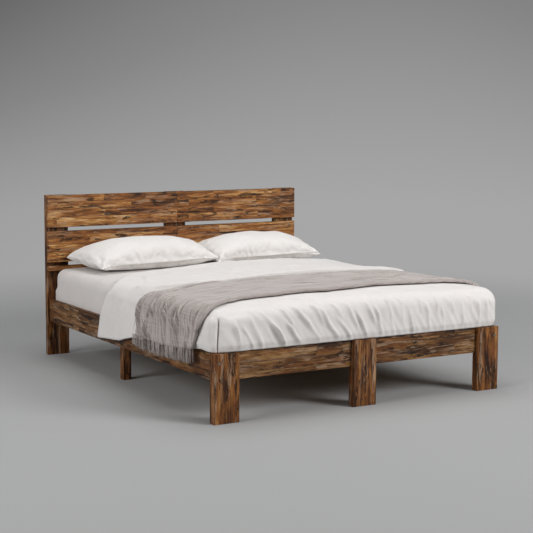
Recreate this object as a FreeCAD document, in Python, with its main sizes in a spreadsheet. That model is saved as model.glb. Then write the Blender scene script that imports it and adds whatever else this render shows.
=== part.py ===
"""Platform bed of reclaimed boards, dressed with a mattress, two pillows, a duvet and a fringed throw.

Millimetres, +Z up, +Y towards the headboard, +X to the right of someone standing at the foot.
The origin is on the floor, under the middle of the bed.
"""
import FreeCAD, Part
import math
import os
import re
import Sketcher
from collections import namedtuple

Vector = FreeCAD.Vector

# Driving sizes of the frame, the hardware and the bedding.
SIZES = (
    # frame
    ("overall_width", 1680.0, "over the outer faces of the legs"),
    ("leg_width", 134.0, "face of each foot leg and head post"),
    ("leg_depth", 44.0, "foot leg, front to back"),
    ("post_depth", 33.0, "head post, front to back"),
    ("rail_run", 2002.0, "side rail, from foot leg to head post"),
    ("rail_lift", 200.0, "floor to the underside of the rails"),
    ("rail_height", 130.0, "all rails"),
    ("rail_depth", 24.0, "thickness of all rails"),
    ("side_rail_inset", 14.0, "side rail in from the outer face of the legs"),
    ("front_rail_run", 975.0, "foot half of the side rail"),
    ("arris", 1.6, "eased edge of the frame boards"),
    ("tenon_depth", 12.0, "thickness of the stub tenons"),
    ("tenon_height", 90.0, "stub tenon"),
    ("tenon_reach", 20.0, "stub tenon into leg or post"),
    ("tenon_slack", 0.2, "room round a tenon"),
    # headboard
    ("board_lap", 14.0, "lowest headboard board down past the top of the mattress"),
    ("headboard_depth", 28.0, "thickness of the headboard boards"),
    ("upper_board_height", 188.0, ""),
    ("middle_board_height", 180.0, ""),
    ("lower_board_height", 28.0, ""),
    ("board_gap", 22.5, "open slot between headboard boards"),
    ("board_joint", 0.6, "butt joint between board halves"),
    # slat deck
    ("cleat_width", 36.0, "ledger along the side rail"),
    ("cleat_height", 38.0, ""),
    ("slat_drop", 62.0, "top of the slats below the top of the rails"),
    ("slat_depth", 18.0, "thickness"),
    ("slat_width", 90.0, ""),
    ("slat_count", 13.0, ""),
    ("slat_end_gap", 10.0, "first slat from the foot leg, last from the post"),
    ("slat_side_gap", 3.0, "slat end from the side rail"),
    ("slat_arris", 1.2, ""),
    ("beam_width", 45.0, "centre beam"),
    ("beam_height", 70.0, ""),
    ("center_leg_width", 45.0, "square leg under the centre beam"),
    ("center_leg_place", 880.0, "first centre leg from the foot leg"),
    ("center_leg_pitch", 560.0, ""),
    ("mid_leg_width", 45.0, "square leg inside the side rail"),
    ("mid_leg_place", 1106.0, "mid leg from the back of the foot leg"),
    ("strap_width", 26.0, "webbing under the slats"),
    ("strap_depth", 1.6, ""),
    ("strap_place", 520.0, "strap from the centre line"),
    # hardware
    ("bolt_radius", 4.0, "rail bolt shank"),
    ("bolt_head_radius", 7.0, ""),
    ("bolt_head_height", 6.0, ""),
    ("bolt_bury", 60.0, "bolt into the end of the rail"),
    ("bolt_drop", 45.0, "bolt below the top of the leg"),
    ("bore_slack", 0.4, "hole radius over shank radius"),
    ("nut_width", 16.0, "square nut let into the rail"),
    ("nut_depth", 8.0, ""),
    ("nut_setback", 48.0, "middle of the nut from the end of the rail"),
    ("dowel_radius", 4.0, ""),
    ("dowel_length", 44.0, "half in the rail, half in the leg"),
    ("dowel_lift", 35.0, "dowel above the underside of the rail"),
    ("nail_width", 3.4, "square shank of the cut nails"),
    ("nail_head_width", 7.0, ""),
    ("nail_head_height", 2.0, ""),
    ("nail_slack", 0.2, "hole over shank, and beyond the tip"),
    ("nail_bury", 18.0, "nail into the second board"),
    ("nail_inset", 36.0, "nail from the edge of a headboard board"),
    ("cleat_nail_count", 6.0, ""),
    ("plate_depth", 3.0, "steel of the beam hangers"),
    ("hanger_lip", 30.0, "wing of the hanger beside the beam"),
    ("hanger_seat", 40.0, "length of the hanger under the beam"),
    ("hanger_nail_drop", 18.0, "hanger nail from the top of the hanger"),
    ("hanger_nail_pitch", 32.0, ""),
    ("leveler_radius", 16.0, "foot under a centre leg"),
    ("leveler_height", 8.0, ""),
    ("leveler_stem", 30.0, ""),
    # bedding
    ("soft_gap", 0.3, "between soft pieces and what they lie on"),
    ("mattress_side_gap", 2.0, "mattress from the side rail"),
    ("mattress_end_gap", 1.0, "mattress from leg and post"),
    ("mattress_height", 244.7, "to the top of its crown"),
    ("mattress_crown", 4.0, "middle above the rolled edge"),
    ("mattress_crown_inset", 260.0, "crown in from the side"),
    ("mattress_roll", 62.0, "radius of the rolled top edge"),
    ("mattress_hem", 14.0, "radius of the bottom edge"),
    ("mattress_pull", 3.0, "tape edges drawn in from the middle of the side"),
    ("mattress_corner", 60.0, "corner radius in plan"),
    ("pillow_width", 750.0, ""),
    ("pillow_depth", 375.0, "front to back, plumped"),
    ("pillow_height", 184.0, ""),
    ("pillow_seam", 45.0, "seam above the underside"),
    ("pillow_lean", 34.0, "rear seam above the front seam"),
    ("pillow_left_place", 335.0, "middle of the pillow, left of the centre line"),
    ("pillow_right_place", 445.0, "middle of the pillow, right of the centre line"),
    ("pillow_left_back", 12.0, "rear tip from the headboard"),
    ("pillow_right_back", 4.0, ""),
    ("duvet_depth", 25.0, "on top of the mattress"),
    ("duvet_overhang", 10.0, "hanging sides out from the faces of the legs"),
    ("duvet_shoulder", 55.0, "outer radius where the sides turn down"),
    ("duvet_wall", 21.0, "hanging side at the shoulder"),
    ("duvet_foot_wall", 36.0, "hanging foot end at the shoulder"),
    ("duvet_foot_inset", 4.5, "hanging foot end in from the face of the legs"),
    ("duvet_hem_depth", 12.0, "hanging side at its hem"),
    ("duvet_drop", 68.0, "from the top of the duvet to where its folds start"),
    ("duvet_reach", 1605.0, "from the foot face to the head edge"),
    ("duvet_head_roll", 20.0, "rounding of the head edge"),
    ("duvet_fold", 5.0, "swing of the side folds to either hand"),
    ("duvet_foot_fold", 3.0, "swing of the foot folds"),
    ("duvet_foot_sweep", 46.0, "foot folds lean this far sideways"),
    ("duvet_hem_low", 192.0, "hem above the floor at the head edge"),
    ("duvet_corner_across", 500.0, "turned-back corner, across the bed"),
    ("duvet_corner_along", 560.0, "turned-back corner, along the bed"),
    ("duvet_corner_bow", 62.0, "bulge of the turned-back edge"),
    ("duvet_corner_lean", 215.0, "turned-back edge runs this much further along at the hem"),
    ("throw_layer", 4.0, "one layer of the folded throw"),
    ("throw_width", 690.0, "folded, at the middle of the bed"),
    ("throw_place", 268.0, "near edge from the foot face, at the middle"),
    ("throw_clear", 2.0, "hanging throw from the duvet's side, at the top"),
    ("throw_flare", 4.7, "further out at the hem"),
    ("throw_fold", 5.0, "swing of its folds to either hand"),
    ("throw_hem_near", 330.0, "hem above the floor, near edge"),
    ("throw_hem_far", 300.0, "hem above the floor, far edge"),
    ("throw_near_sweep", 62.0, "near edge moves this far along from shoulder to hem"),
    ("throw_far_sweep", 93.0, "far edge moves this far along from shoulder to hem"),
    ("throw_margin", 172.0, "single layer beyond the doubled one, on the left side"),
    ("throw_margin_sweep", 104.0, "its edge moves this far along from shoulder to hem"),
    ("throw_lap", 14.0, "margin behind the doubled layer"),
    ("fringe_length", 58.0, ""),
    ("tassel_gap", 0.8, "top of a tassel below the hem"),
    ("tassel_width", 8.0, ""),
    ("tassel_depth", 3.0, ""),
)

doc = FreeCAD.newDocument("PlatformBed")
sheet = doc.addObject("Spreadsheet::Sheet", "Sizes")
for row, (alias, number, note) in enumerate(SIZES, start=1):
    sheet.set("A%d" % row, alias)
    sheet.set("B%d" % row, str(number))
    sheet.setAlias("B%d" % row, alias)
    sheet.set("C%d" % row, note)
doc.recompute()

ALIAS = re.compile(r"\b(%s)\b" % "|".join(alias for alias, number, note in SIZES))
SKETCH_START = 10.0
# A pattern whose spacing is this follows its own offset instead.
EVEN_ROW_SHARE = -1.0
NODES = []

# Places that several pieces share, as formulas on the sheet. FOOT is the front face of the foot legs.
FOOT = "-(leg_depth + rail_run + post_depth) / 2"
LEG_BACK = FOOT + " + leg_depth"
POST_FRONT = LEG_BACK + " + rail_run"
LEG_HEIGHT = "rail_lift + rail_height"
SLAT_TOP = "(rail_lift + rail_height - slat_drop)"
SLAT_UNDER = "(rail_lift + rail_height - slat_drop - slat_depth)"
RAIL_INNER = "(overall_width / 2 - side_rail_inset - rail_depth)"
RAIL_AXIS = "(overall_width / 2 - side_rail_inset - rail_depth / 2)"
END_RAIL_RUN = "(overall_width - 3 * leg_width) / 2"
BOLT_HEIGHT = "rail_height - bolt_drop"
LOWER_FLOOR = "(%s + soft_gap + mattress_height - board_lap)" % SLAT_TOP
MIDDLE_FLOOR = "(%s + lower_board_height + board_gap)" % LOWER_FLOOR
UPPER_FLOOR = "(%s + middle_board_height + board_gap)" % MIDDLE_FLOOR
POST_HEIGHT = "(%s + upper_board_height)" % UPPER_FLOOR

Board = namedtuple("Board", "body wide deep tall")
Face = namedtuple("Face", "plane offset inward")


def size(alias):
    """The plain number in a cell of the sheet."""
    return float(sheet.get(alias))


def bind(thing, prop, formula):
    """Tie a property to the sheet: each alias in the formula reads its own cell."""
    thing.setExpression(prop, ALIAS.sub(lambda word: "Sizes." + word.group(), formula))


def place(thing, x, y, z):
    """Put an object's own origin at a place given as three formulas."""
    for axis, formula in zip("xyz", (x, y, z)):
        bind(thing, "Placement.Base." + axis, formula)


def origin_feature(body, role):
    """One of the body's own planes or axes."""
    return next(feature for feature in body.Origin.OriginFeatures if feature.Role == role)


def face_of(board, name):
    """The plane, its offset and the inward sense of one face of a board."""
    return {
        "left": Face("YZ_Plane", "0", True),
        "right": Face("YZ_Plane", board.wide, False),
        "front": Face("XZ_Plane", "0", False),
        "back": Face("XZ_Plane", "-(%s)" % board.deep, True),
        "bottom": Face("XY_Plane", "0", True),
        "top": Face("XY_Plane", board.tall, False),
    }[name]


def sketch_on(body, plane, offset="0"):
    """A sketch on one of the body's own origin planes."""
    sketch = body.newObject("Sketcher::SketchObject", "Sketch")
    sketch.AttachmentSupport = [(origin_feature(body, plane), "")]
    sketch.MapMode = "FlatFace"
    if offset != "0":
        bind(sketch, "AttachmentOffset.Base.z", offset)
    return sketch


def dimension(sketch, name, formula, kind, *targets):
    """A named sketch constraint that reads the sheet."""
    index = sketch.addConstraint(Sketcher.Constraint(kind, *targets, SKETCH_START))
    sketch.renameConstraint(index, name)
    bind(sketch, "Constraints." + name, formula)


def add_rectangle(sketch, across, along, wide, tall):
    """A rectangle whose near corner is given by formulas from the sketch's origin."""
    first = sketch.GeometryCount
    corners = [Vector((first + u) * SKETCH_START, v * SKETCH_START, 0)
               for u, v in ((1, 1), (2, 1), (2, 2), (1, 2))]
    for index, corner in enumerate(corners):
        sketch.addGeometry(Part.LineSegment(corner, corners[(index + 1) % 4]), False)
    for index in range(4):
        sketch.addConstraint(
            Sketcher.Constraint("Coincident", first + index, 2, first + (index + 1) % 4, 1))
    for index, sense in enumerate(("Horizontal", "Vertical", "Horizontal", "Vertical")):
        sketch.addConstraint(Sketcher.Constraint(sense, first + index))
    dimension(sketch, "wide%d" % first, wide, "DistanceX", first, 1, first, 2)
    dimension(sketch, "tall%d" % first, tall, "DistanceY", first + 1, 1, first + 1, 2)
    if across == "0" and along == "0":
        sketch.addConstraint(Sketcher.Constraint("Coincident", first, 1, -1, 1))
    else:
        dimension(sketch, "across%d" % first, across, "DistanceX", -1, 1, first, 1)
        dimension(sketch, "along%d" % first, along, "DistanceY", -1, 1, first, 1)


def checked(body, grows, before):
    """Recompute, and stop if the last feature failed or worked on nothing."""
    doc.recompute()
    change = body.Shape.Volume - before
    if "Invalid" in body.Tip.State or "Error" in body.Tip.State or change * grows <= 0:
        raise RuntimeError("%s: feature %s changed the volume by %g" % (body.Label, body.Tip.Name, change))


def new_body(label):
    """A body that becomes a node, with its own name."""
    body = doc.addObject("PartDesign::Body", label)
    body.Label = label
    return body


def board(label, wide, deep, tall, x, y, z, ease="arris"):
    """A sawn board: a rectangle padded up, with all its edges eased."""
    body = new_body(label)
    add_rectangle(sketch_on(body, "XY_Plane"), "0", "0", wide, deep)
    pad = body.newObject("PartDesign::Pad", "Pad")
    pad.Profile = body.Group[0]
    bind(pad, "Length", tall)
    checked(body, 1, 0)
    chamfer = body.newObject("PartDesign::Chamfer", "Chamfer")
    chamfer.Base = (pad, ["Edge%d" % number for number in range(1, 1 + len(pad.Shape.Edges))])
    bind(chamfer, "Size", ease)
    checked(body, -1, pad.Shape.Volume)
    place(body, x, y, z)
    NODES.append(body)
    return Board(body, wide, deep, tall)


def bore(target, face, places, radius, depth):
    """Round holes drilled straight into one face, at (across, along) from the board's near corner."""
    side = face_of(target, face)
    before = target.body.Shape.Volume
    sketch = sketch_on(target.body, side.plane, side.offset)
    for index, (across, along) in enumerate(places):
        centre = Vector(SKETCH_START * (3 * index + 2), SKETCH_START, 0)
        sketch.addGeometry(Part.Circle(centre, Vector(0, 0, 1), SKETCH_START / 2), False)
        dimension(sketch, "radius%d" % index, radius, "Radius", index)
        dimension(sketch, "across%d" % index, across, "DistanceX", -1, 1, index, 3)
        dimension(sketch, "along%d" % index, along, "DistanceY", -1, 1, index, 3)
    pocket = target.body.newObject("PartDesign::Pocket", "Bore")
    pocket.Profile = sketch
    pocket.Reversed = side.inward
    bind(pocket, "Length", depth)
    checked(target.body, -1, before)


def mortise(target, face, places, wide, tall, depth):
    """Square-cornered pockets in one face, whose near corners are at (across, along)."""
    side = face_of(target, face)
    before = target.body.Shape.Volume
    sketch = sketch_on(target.body, side.plane, side.offset)
    for across, along in places:
        add_rectangle(sketch, across, along, wide, tall)
    pocket = target.body.newObject("PartDesign::Pocket", "Mortise")
    pocket.Profile = sketch
    pocket.Reversed = side.inward
    bind(pocket, "Length", depth)
    checked(target.body, -1, before)


def nail_holes(target, face, places, depth, flush=False):
    """Holes that square nails leave in one face, about (across, along). Flush ones take the heads too."""
    sizes = [("nail_width", depth)] + ([("nail_head_width", "nail_head_height")] if flush else [])
    for shank, reach in sizes:
        wide = "(%s + nail_slack)" % shank
        corners = [("%s - %s / 2" % (across, wide), "%s - %s / 2" % (along, wide))
                   for across, along in places]
        mortise(target, face, corners, wide, wide, reach)


def tenon(target, face, across, along, wide, tall, reach):
    """A square tongue that stands out of one face."""
    side = face_of(target, face)
    before = target.body.Shape.Volume
    sketch = sketch_on(target.body, side.plane, side.offset)
    add_rectangle(sketch, across, along, wide, tall)
    pad = target.body.newObject("PartDesign::Pad", "Tenon")
    pad.Profile = sketch
    pad.Reversed = side.inward
    bind(pad, "Length", reach)
    checked(target.body, 1, before)


def turned(label, axis, profile, x, y, z, repeats=()):
    """A turned part: (radius, height) pairs spun about an axis, then repeated along body axes."""
    body = new_body(label)
    body.AllowCompound = True
    flat = axis == "X"
    sketch = sketch_on(body, "XZ_Plane" if axis == "Z" else "XY_Plane")
    count = len(profile)
    starts = [(SKETCH_START * radius_step, SKETCH_START * index)
              for index, radius_step in enumerate([0] + [2 + index % 2 for index in range(count - 2)] + [0])]
    points = [Vector(v, u, 0) if flat else Vector(u, v, 0) for u, v in starts]
    for index in range(count):
        sketch.addGeometry(Part.LineSegment(points[index], points[(index + 1) % count]), False)
    for index in range(count):
        sketch.addConstraint(Sketcher.Constraint("Coincident", index, 2, (index + 1) % count, 1))
    radial, axial = ("DistanceY", "DistanceX") if flat else ("DistanceX", "DistanceY")
    for index, (radius, height) in enumerate(profile):
        for name, kind, formula in (("radius", radial, radius), ("height", axial, height)):
            dimension(sketch, "%s%d" % (name, index), formula, kind, -1, 1, index, 1)
    turn = body.newObject("PartDesign::Revolution", "Turned")
    turn.Profile = sketch
    turn.ReferenceAxis = (sketch, ["H_Axis" if flat else "V_Axis"])
    turn.Angle = 360
    checked(body, 1, 0)
    repeat(body, [turn], repeats)
    place(body, x, y, z)
    return body


def repeat(body, features, repeats):
    """Copies of the features in even rows, each row given as (body axis, pitch, number)."""
    if not repeats:
        return
    before = body.Shape.Volume
    pattern = body.newObject("PartDesign::LinearPattern", "Repeat")
    pattern.Originals = features
    for suffix, (direction, pitch, number) in zip(("", "2"), repeats):
        setattr(pattern, "Direction" + suffix, (origin_feature(body, direction + "_Axis"), [""]))
        setattr(pattern, "Mode" + suffix, "Spacing")
        setattr(pattern, "Spacings" + suffix, [EVEN_ROW_SHARE])
        bind(pattern, "Offset" + suffix, pitch)
        bind(pattern, "Occurrences" + suffix, number)
    body.Tip = pattern
    checked(body, 1, before)


NAIL_PLANES = {
    "X": ("YZ_Plane", "(%s)", False),
    "Y": ("XZ_Plane", "-(%s)", True),
    "Z": ("XY_Plane", "(%s)", False)}


def cut_nails(axis, through, flush, head_first, x, y, z, repeats):
    """One even grid of square cut nails through one board into the next, from the first one's lower end."""
    body = new_body("CutNails")
    body.AllowCompound = True
    plane, offset, backward = NAIL_PLANES[axis]
    length = "(nail_bury - nail_slack + %s%s)" % (through, "" if flush else " + nail_head_height")
    head_start = "0" if head_first else length + " - nail_head_height"
    pads = []
    for corner, wide, start, reach in (
            ("0", "nail_head_width", head_start, "nail_head_height"),
            ("(nail_head_width - nail_width) / 2", "nail_width", "0", length)):
        before = body.Shape.Volume if pads else 0
        sketch = sketch_on(body, plane, start if start == "0" else offset % start)
        add_rectangle(sketch, corner, corner, wide, wide)
        pad = body.newObject("PartDesign::Pad", "Nail")
        pad.Profile = sketch
        pad.Reversed = backward
        bind(pad, "Length", reach)
        checked(body, 1, before)
        pads.append(pad)
    repeat(body, pads, repeats)
    corners = [formula if along == axis else "%s - nail_head_width / 2" % formula
               for along, formula in zip("XYZ", (x, y, z))]
    place(body, *corners)
    return body


def group(label, bodies):
    """Identical fasteners that share one node."""
    compound = doc.addObject("Part::Compound", label)
    compound.Label = label
    compound.Links = bodies
    doc.recompute()
    NODES.append(compound)


def single(body):
    """A turned part, or one even grid of them, that is a node by itself."""
    NODES.append(body)


def headed(radius, head_radius, head_height, length, head_first):
    """Half profile of a bolt or a levelling foot, from its lower end up its axis."""
    if head_first:
        return (("0", "0"), (head_radius, "0"), (head_radius, head_height), (radius, head_height),
                (radius, length), ("0", length))
    neck = "%s - %s" % (length, head_height)
    return (("0", "0"), (radius, "0"), (radius, neck), (head_radius, neck),
            (head_radius, length), ("0", length))


def rod(radius, length):
    """Half profile of a plain pin."""
    return (("0", "0"), (radius, "0"), (radius, length), ("0", length))


# Foot legs, end rails and side rails


def leg_and_post_mortises(upright, faces, from_front):
    """Mortises that take the end rails' stub tenons."""
    across = "%s - tenon_slack / 2" % from_front
    along = "rail_lift + (rail_height - tenon_height - tenon_slack) / 2"
    for face in faces:
        mortise(upright, face, [(across, along)], "tenon_depth + tenon_slack",
                "tenon_height + tenon_slack", "tenon_reach + tenon_slack")


def foot_leg(label, x, faces):
    """A wide foot leg, with mortises for the foot rails."""
    leg = board(label, "leg_width", "leg_depth", LEG_HEIGHT, x, FOOT, "0")
    leg_and_post_mortises(leg, faces, "leg_depth - (rail_depth + tenon_depth) / 2")
    return leg


def bolt_places(mirrored):
    """Across and up a leg's face to the rail bolt and to the dowel under it."""
    inset = "side_rail_inset + rail_depth / 2"
    across = "leg_width - (%s)" % inset if mirrored else inset
    return (across, "rail_lift + " + BOLT_HEIGHT), (across, "rail_lift + dowel_lift")


def bolt_through(upright, face, back_face, mirrored):
    """Counterbored bolt hole from the outer face and a dowel hole in the inner face."""
    bolt, dowel = bolt_places(mirrored)
    bore(upright, face, [bolt], "bolt_radius + bore_slack", upright.deep)
    bore(upright, face, [bolt], "bolt_head_radius + bore_slack", "bolt_head_height")
    bore(upright, back_face, [dowel], "dowel_radius + bore_slack", "dowel_length / 2")


LEFT_X = "-overall_width / 2"
CENTER_X = "-leg_width / 2"
RIGHT_X = "overall_width / 2 - leg_width"

foot_leg_left = foot_leg("foot_leg_left", LEFT_X, ("right",))
foot_leg_center = foot_leg("foot_leg_center", CENTER_X, ("left", "right"))
foot_leg_right = foot_leg("foot_leg_right", RIGHT_X, ("left",))
bolt_through(foot_leg_left, "front", "back", False)
bolt_through(foot_leg_right, "front", "back", True)


def end_rail(label, x, y):
    """A rail between two uprights, with a stub tenon at each end."""
    rail = board(label, END_RAIL_RUN, "rail_depth", "rail_height", x, y, "rail_lift")
    for face in ("left", "right"):
        tenon(rail, face, "(rail_depth - tenon_depth) / 2", "(rail_height - tenon_height) / 2",
              "tenon_depth", "tenon_height", "tenon_reach")


FIRST_BAY = "leg_width - overall_width / 2"
SECOND_BAY = "leg_width / 2"
end_rail("foot_rail_left", FIRST_BAY, LEG_BACK + " - rail_depth")
end_rail("foot_rail_right", SECOND_BAY, LEG_BACK + " - rail_depth")


def side_rail(label, x, mirrored, at_foot):
    """Half of a side rail, bolted to its leg or post and nailed to the cleat behind it."""
    run = "front_rail_run" if at_foot else "(rail_run - front_rail_run)"
    start = LEG_BACK if at_foot else LEG_BACK + " + front_rail_run"
    rail = board(label, "rail_depth", run, "rail_height", x, start, "rail_lift")
    end_face = "front" if at_foot else "back"
    middle = "rail_depth / 2"
    bore(rail, end_face, [(middle, BOLT_HEIGHT)], "bolt_radius + bore_slack", "bolt_bury")
    bore(rail, end_face, [(middle, "dowel_lift")], "dowel_radius + bore_slack",
         "dowel_length / 2 + bore_slack")
    inner = "left" if mirrored else "right"
    setback = "nut_setback" if at_foot else run + " - nut_setback"
    nut_corner = (setback + " - nut_depth / 2 - bore_slack", BOLT_HEIGHT + " - nut_width / 2 - bore_slack")
    mortise(rail, inner, [nut_corner], "nut_depth + 2 * bore_slack", "nut_width + 2 * bore_slack",
            "(rail_depth + nut_width) / 2 + bore_slack")
    offset = "0" if at_foot else " front_rail_run"
    nails = [("%s - (%s)" % (cleat_nail_reach(index), offset), CLEAT_NAIL_HEIGHT + " - rail_lift")
             for index in cleat_nails_in(at_foot)]
    nail_holes(rail, inner, nails, "nail_bury")


CLEAT_NAIL_HEIGHT = SLAT_UNDER + " - cleat_height / 2"
CLEAT_NAIL_PITCH = "rail_run / cleat_nail_count"


def cleat_nail_reach(index):
    """How far a cleat nail lies from the foot end of the cleat."""
    return "%s * %s" % (CLEAT_NAIL_PITCH, index + 0.5)


def cleat_nails_in(at_foot):
    """The numbers of the cleat nails that enter one half of the side rail."""
    pitch = size("rail_run") / size("cleat_nail_count")
    numbers = range(int(size("cleat_nail_count")))
    return [index for index in numbers if ((index + 0.5) * pitch < size("front_rail_run")) == at_foot]


for side_name, rail_x, mirrored in (("left", "-%s - rail_depth" % RAIL_INNER, False),
                                    ("right", RAIL_INNER, True)):
    side_rail("side_rail_%s_front" % side_name, rail_x, mirrored, True)
    side_rail("side_rail_%s_rear" % side_name, rail_x, mirrored, False)

# Headboard


def head_post(label, x, faces):
    """A head post, with mortises for the head rails."""
    post = board(label, "leg_width", "post_depth", POST_HEIGHT, x, POST_FRONT, "0")
    leg_and_post_mortises(post, faces, "(rail_depth - tenon_depth) / 2")
    return post


head_post_left = head_post("head_post_left", LEFT_X, ("right",))
head_post_center = head_post("head_post_center", CENTER_X, ("left", "right"))
head_post_right = head_post("head_post_right", RIGHT_X, ("left",))
bolt_through(head_post_left, "back", "front", False)
bolt_through(head_post_right, "back", "front", True)
end_rail("head_rail_left", FIRST_BAY, POST_FRONT)
end_rail("head_rail_right", SECOND_BAY, POST_FRONT)

BOARD_ROWS = (
    ("upper", UPPER_FLOOR, "upper_board_height", ("nail_inset", "upper_board_height - nail_inset")),
    ("middle", MIDDLE_FLOOR, "middle_board_height", ("nail_inset", "middle_board_height - nail_inset")),
    ("lower", LOWER_FLOOR, "lower_board_height", ("lower_board_height / 2",)),
)
HALF_BOARD = "(overall_width - board_joint) / 2"
OUTER_COLUMN = "leg_width / 2"
INNER_COLUMN = "leg_width / 4"

for row_name, floor, height, rows in BOARD_ROWS:
    for side_name, board_x, mirrored in (("left", LEFT_X, False), ("right", "board_joint / 2", True)):
        piece = board("headboard_%s_%s" % (row_name, side_name), HALF_BOARD, "headboard_depth", height,
                      board_x, POST_FRONT + " - headboard_depth", floor)
        far, near = "%s - %s" % (HALF_BOARD, OUTER_COLUMN), "%s - board_joint / 2" % INNER_COLUMN
        columns = (far, near) if mirrored else (OUTER_COLUMN, "%s - (%s)" % (HALF_BOARD, near))
        nail_holes(piece, "back", [(column, level) for column in columns for level in rows], "nail_bury")

nail_levels = [(floor, level) for row_name, floor, height, rows in BOARD_ROWS for level in rows]
for post, columns in ((head_post_left, ("leg_width / 2",)), (head_post_right, ("leg_width / 2",)),
                      (head_post_center, ("leg_width / 4", "leg_width * 3 / 4"))):
    places = [(column, "%s + %s" % level) for column in columns for level in nail_levels]
    nail_holes(post, "back", places, "post_depth", True)

# Slat deck, its cleats, centre beam and inner legs

SLAT_PITCH = "(rail_run - 2 * slat_end_gap - slat_width) / (slat_count - 1)"
SLAT_LENGTH = "2 * (%s - slat_side_gap)" % RAIL_INNER
SLAT_NAIL_INSET = "cleat_width / 2 - slat_side_gap"

for side_name, cleat_x, inner_face in (
        ("left", "-" + RAIL_INNER, "left"),
        ("right", RAIL_INNER + " - cleat_width", "right")):
    cleat = board("side_cleat_" + side_name, "cleat_width", "rail_run", "cleat_height",
                  cleat_x, LEG_BACK, SLAT_UNDER + " - cleat_height", "slat_arris")
    nails = [(cleat_nail_reach(index), "cleat_height / 2")
             for index in range(int(size("cleat_nail_count")))]
    nail_holes(cleat, inner_face, nails, "cleat_width")
    leg_nails = [("mid_leg_place + mid_leg_width / 2", "cleat_height / 4"),
                 ("mid_leg_place + mid_leg_width / 2", "cleat_height * 3 / 4")]
    nail_holes(cleat, "right" if side_name == "left" else "left", leg_nails, "nail_bury")
    ends = [("cleat_width / 2", "slat_end_gap + slat_width / 2"),
            ("cleat_width / 2", "rail_run - slat_end_gap - slat_width / 2")]
    nail_holes(cleat, "top", ends, "nail_bury")

for index in range(int(size("slat_count"))):
    slat = board("slat_%02d" % (index + 1), SLAT_LENGTH, "slat_width", "slat_depth",
                 "-%s + slat_side_gap" % RAIL_INNER,
                 "%s + slat_end_gap + %d * %s" % (LEG_BACK, index, SLAT_PITCH), SLAT_UNDER, "slat_arris")
    if index in (0, int(size("slat_count")) - 1):
        ends = [(SLAT_NAIL_INSET, "slat_width / 2"),
                ("%s - (%s)" % (SLAT_LENGTH, SLAT_NAIL_INSET), "slat_width / 2")]
        nail_holes(slat, "top", ends, "slat_depth", True)

BEAM_FLOOR = SLAT_UNDER + " - beam_height"
beam = board("center_beam", "beam_width", "rail_run - 2 * plate_depth", "beam_height",
             "-beam_width / 2", LEG_BACK + " + plate_depth", BEAM_FLOOR, "slat_arris")
beam_pins = [("beam_width / 2", "center_leg_place - plate_depth + center_leg_width / 2"),
             ("beam_width / 2", "center_leg_place - plate_depth + center_leg_width / 2 + center_leg_pitch")]
bore(beam, "bottom", beam_pins, "bolt_radius + bore_slack", "dowel_length / 2 + bore_slack")

CENTER_LEG_FLOOR = "leveler_height"
CENTER_LEG_HEIGHT = "%s - leveler_height" % BEAM_FLOOR
for leg_name, leg_y in (("front", "%s + center_leg_place" % LEG_BACK),
                        ("rear", "%s + center_leg_place + center_leg_pitch" % LEG_BACK)):
    center_leg = board("center_leg_" + leg_name, "center_leg_width", "center_leg_width", CENTER_LEG_HEIGHT,
                       "-center_leg_width / 2", leg_y, CENTER_LEG_FLOOR, "slat_arris")
    middle = [("center_leg_width / 2", "center_leg_width / 2")]
    bore(center_leg, "top", middle, "bolt_radius + bore_slack", "dowel_length / 2 + bore_slack")
    bore(center_leg, "bottom", middle, "bolt_radius + bore_slack", "leveler_stem + bore_slack")

MID_LEG_OUTER = "(%s - cleat_width)" % RAIL_INNER
for side_name, mid_x, inner_face in (("left", "-%s" % MID_LEG_OUTER, "right"),
                                     ("right", MID_LEG_OUTER + " - mid_leg_width", "left")):
    mid_leg = board("side_mid_leg_" + side_name, "mid_leg_width", "mid_leg_width", SLAT_UNDER,
                    mid_x, "%s + mid_leg_place" % LEG_BACK, "0", "slat_arris")
    levels = [("mid_leg_width / 2", "%s - cleat_height + cleat_height / 4" % SLAT_UNDER),
              ("mid_leg_width / 2", "%s - cleat_height + cleat_height * 3 / 4" % SLAT_UNDER)]
    nail_holes(mid_leg, inner_face, levels, "mid_leg_width")


def beam_hanger(label, y, plate_face):
    """A folded steel stirrup: a back plate, with a trough that the beam's end drops into."""
    trough_wide = "beam_width + 2 * (plate_depth + bore_slack)"
    body = new_body(label)
    add_rectangle(sketch_on(body, "XY_Plane"), "0", "0", trough_wide + " + 2 * hanger_lip", "plate_depth")
    pad = body.newObject("PartDesign::Pad", "Plate")
    pad.Profile = body.Group[0]
    bind(pad, "Length", "beam_height + plate_depth")
    checked(body, 1, 0)
    hanger = Board(body, trough_wide + " + 2 * hanger_lip", "plate_depth", "beam_height + plate_depth")
    tenon(hanger, plate_face, "hanger_lip", "0", trough_wide, "beam_height + plate_depth", "hanger_seat")
    solid = Board(body, hanger.wide, "plate_depth", hanger.tall)
    before = body.Shape.Volume
    sketch = sketch_on(body, "XZ_Plane", face_of(solid, plate_face).offset)
    add_rectangle(sketch, "hanger_lip + plate_depth", "plate_depth",
                  "beam_width + 2 * bore_slack", "beam_height")
    trough = body.newObject("PartDesign::Pocket", "Trough")
    trough.Profile = sketch
    trough.Reversed = not face_of(solid, plate_face).inward
    bind(trough, "Length", "hanger_seat")
    checked(body, -1, before)
    nail_holes(hanger, "front", [(across, level) for across in HANGER_COLUMNS for level in HANGER_ROWS],
               "plate_depth")
    place(body, "-(%s) / 2 - hanger_lip" % trough_wide, y, BEAM_FLOOR + " - plate_depth")
    NODES.append(body)


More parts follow.
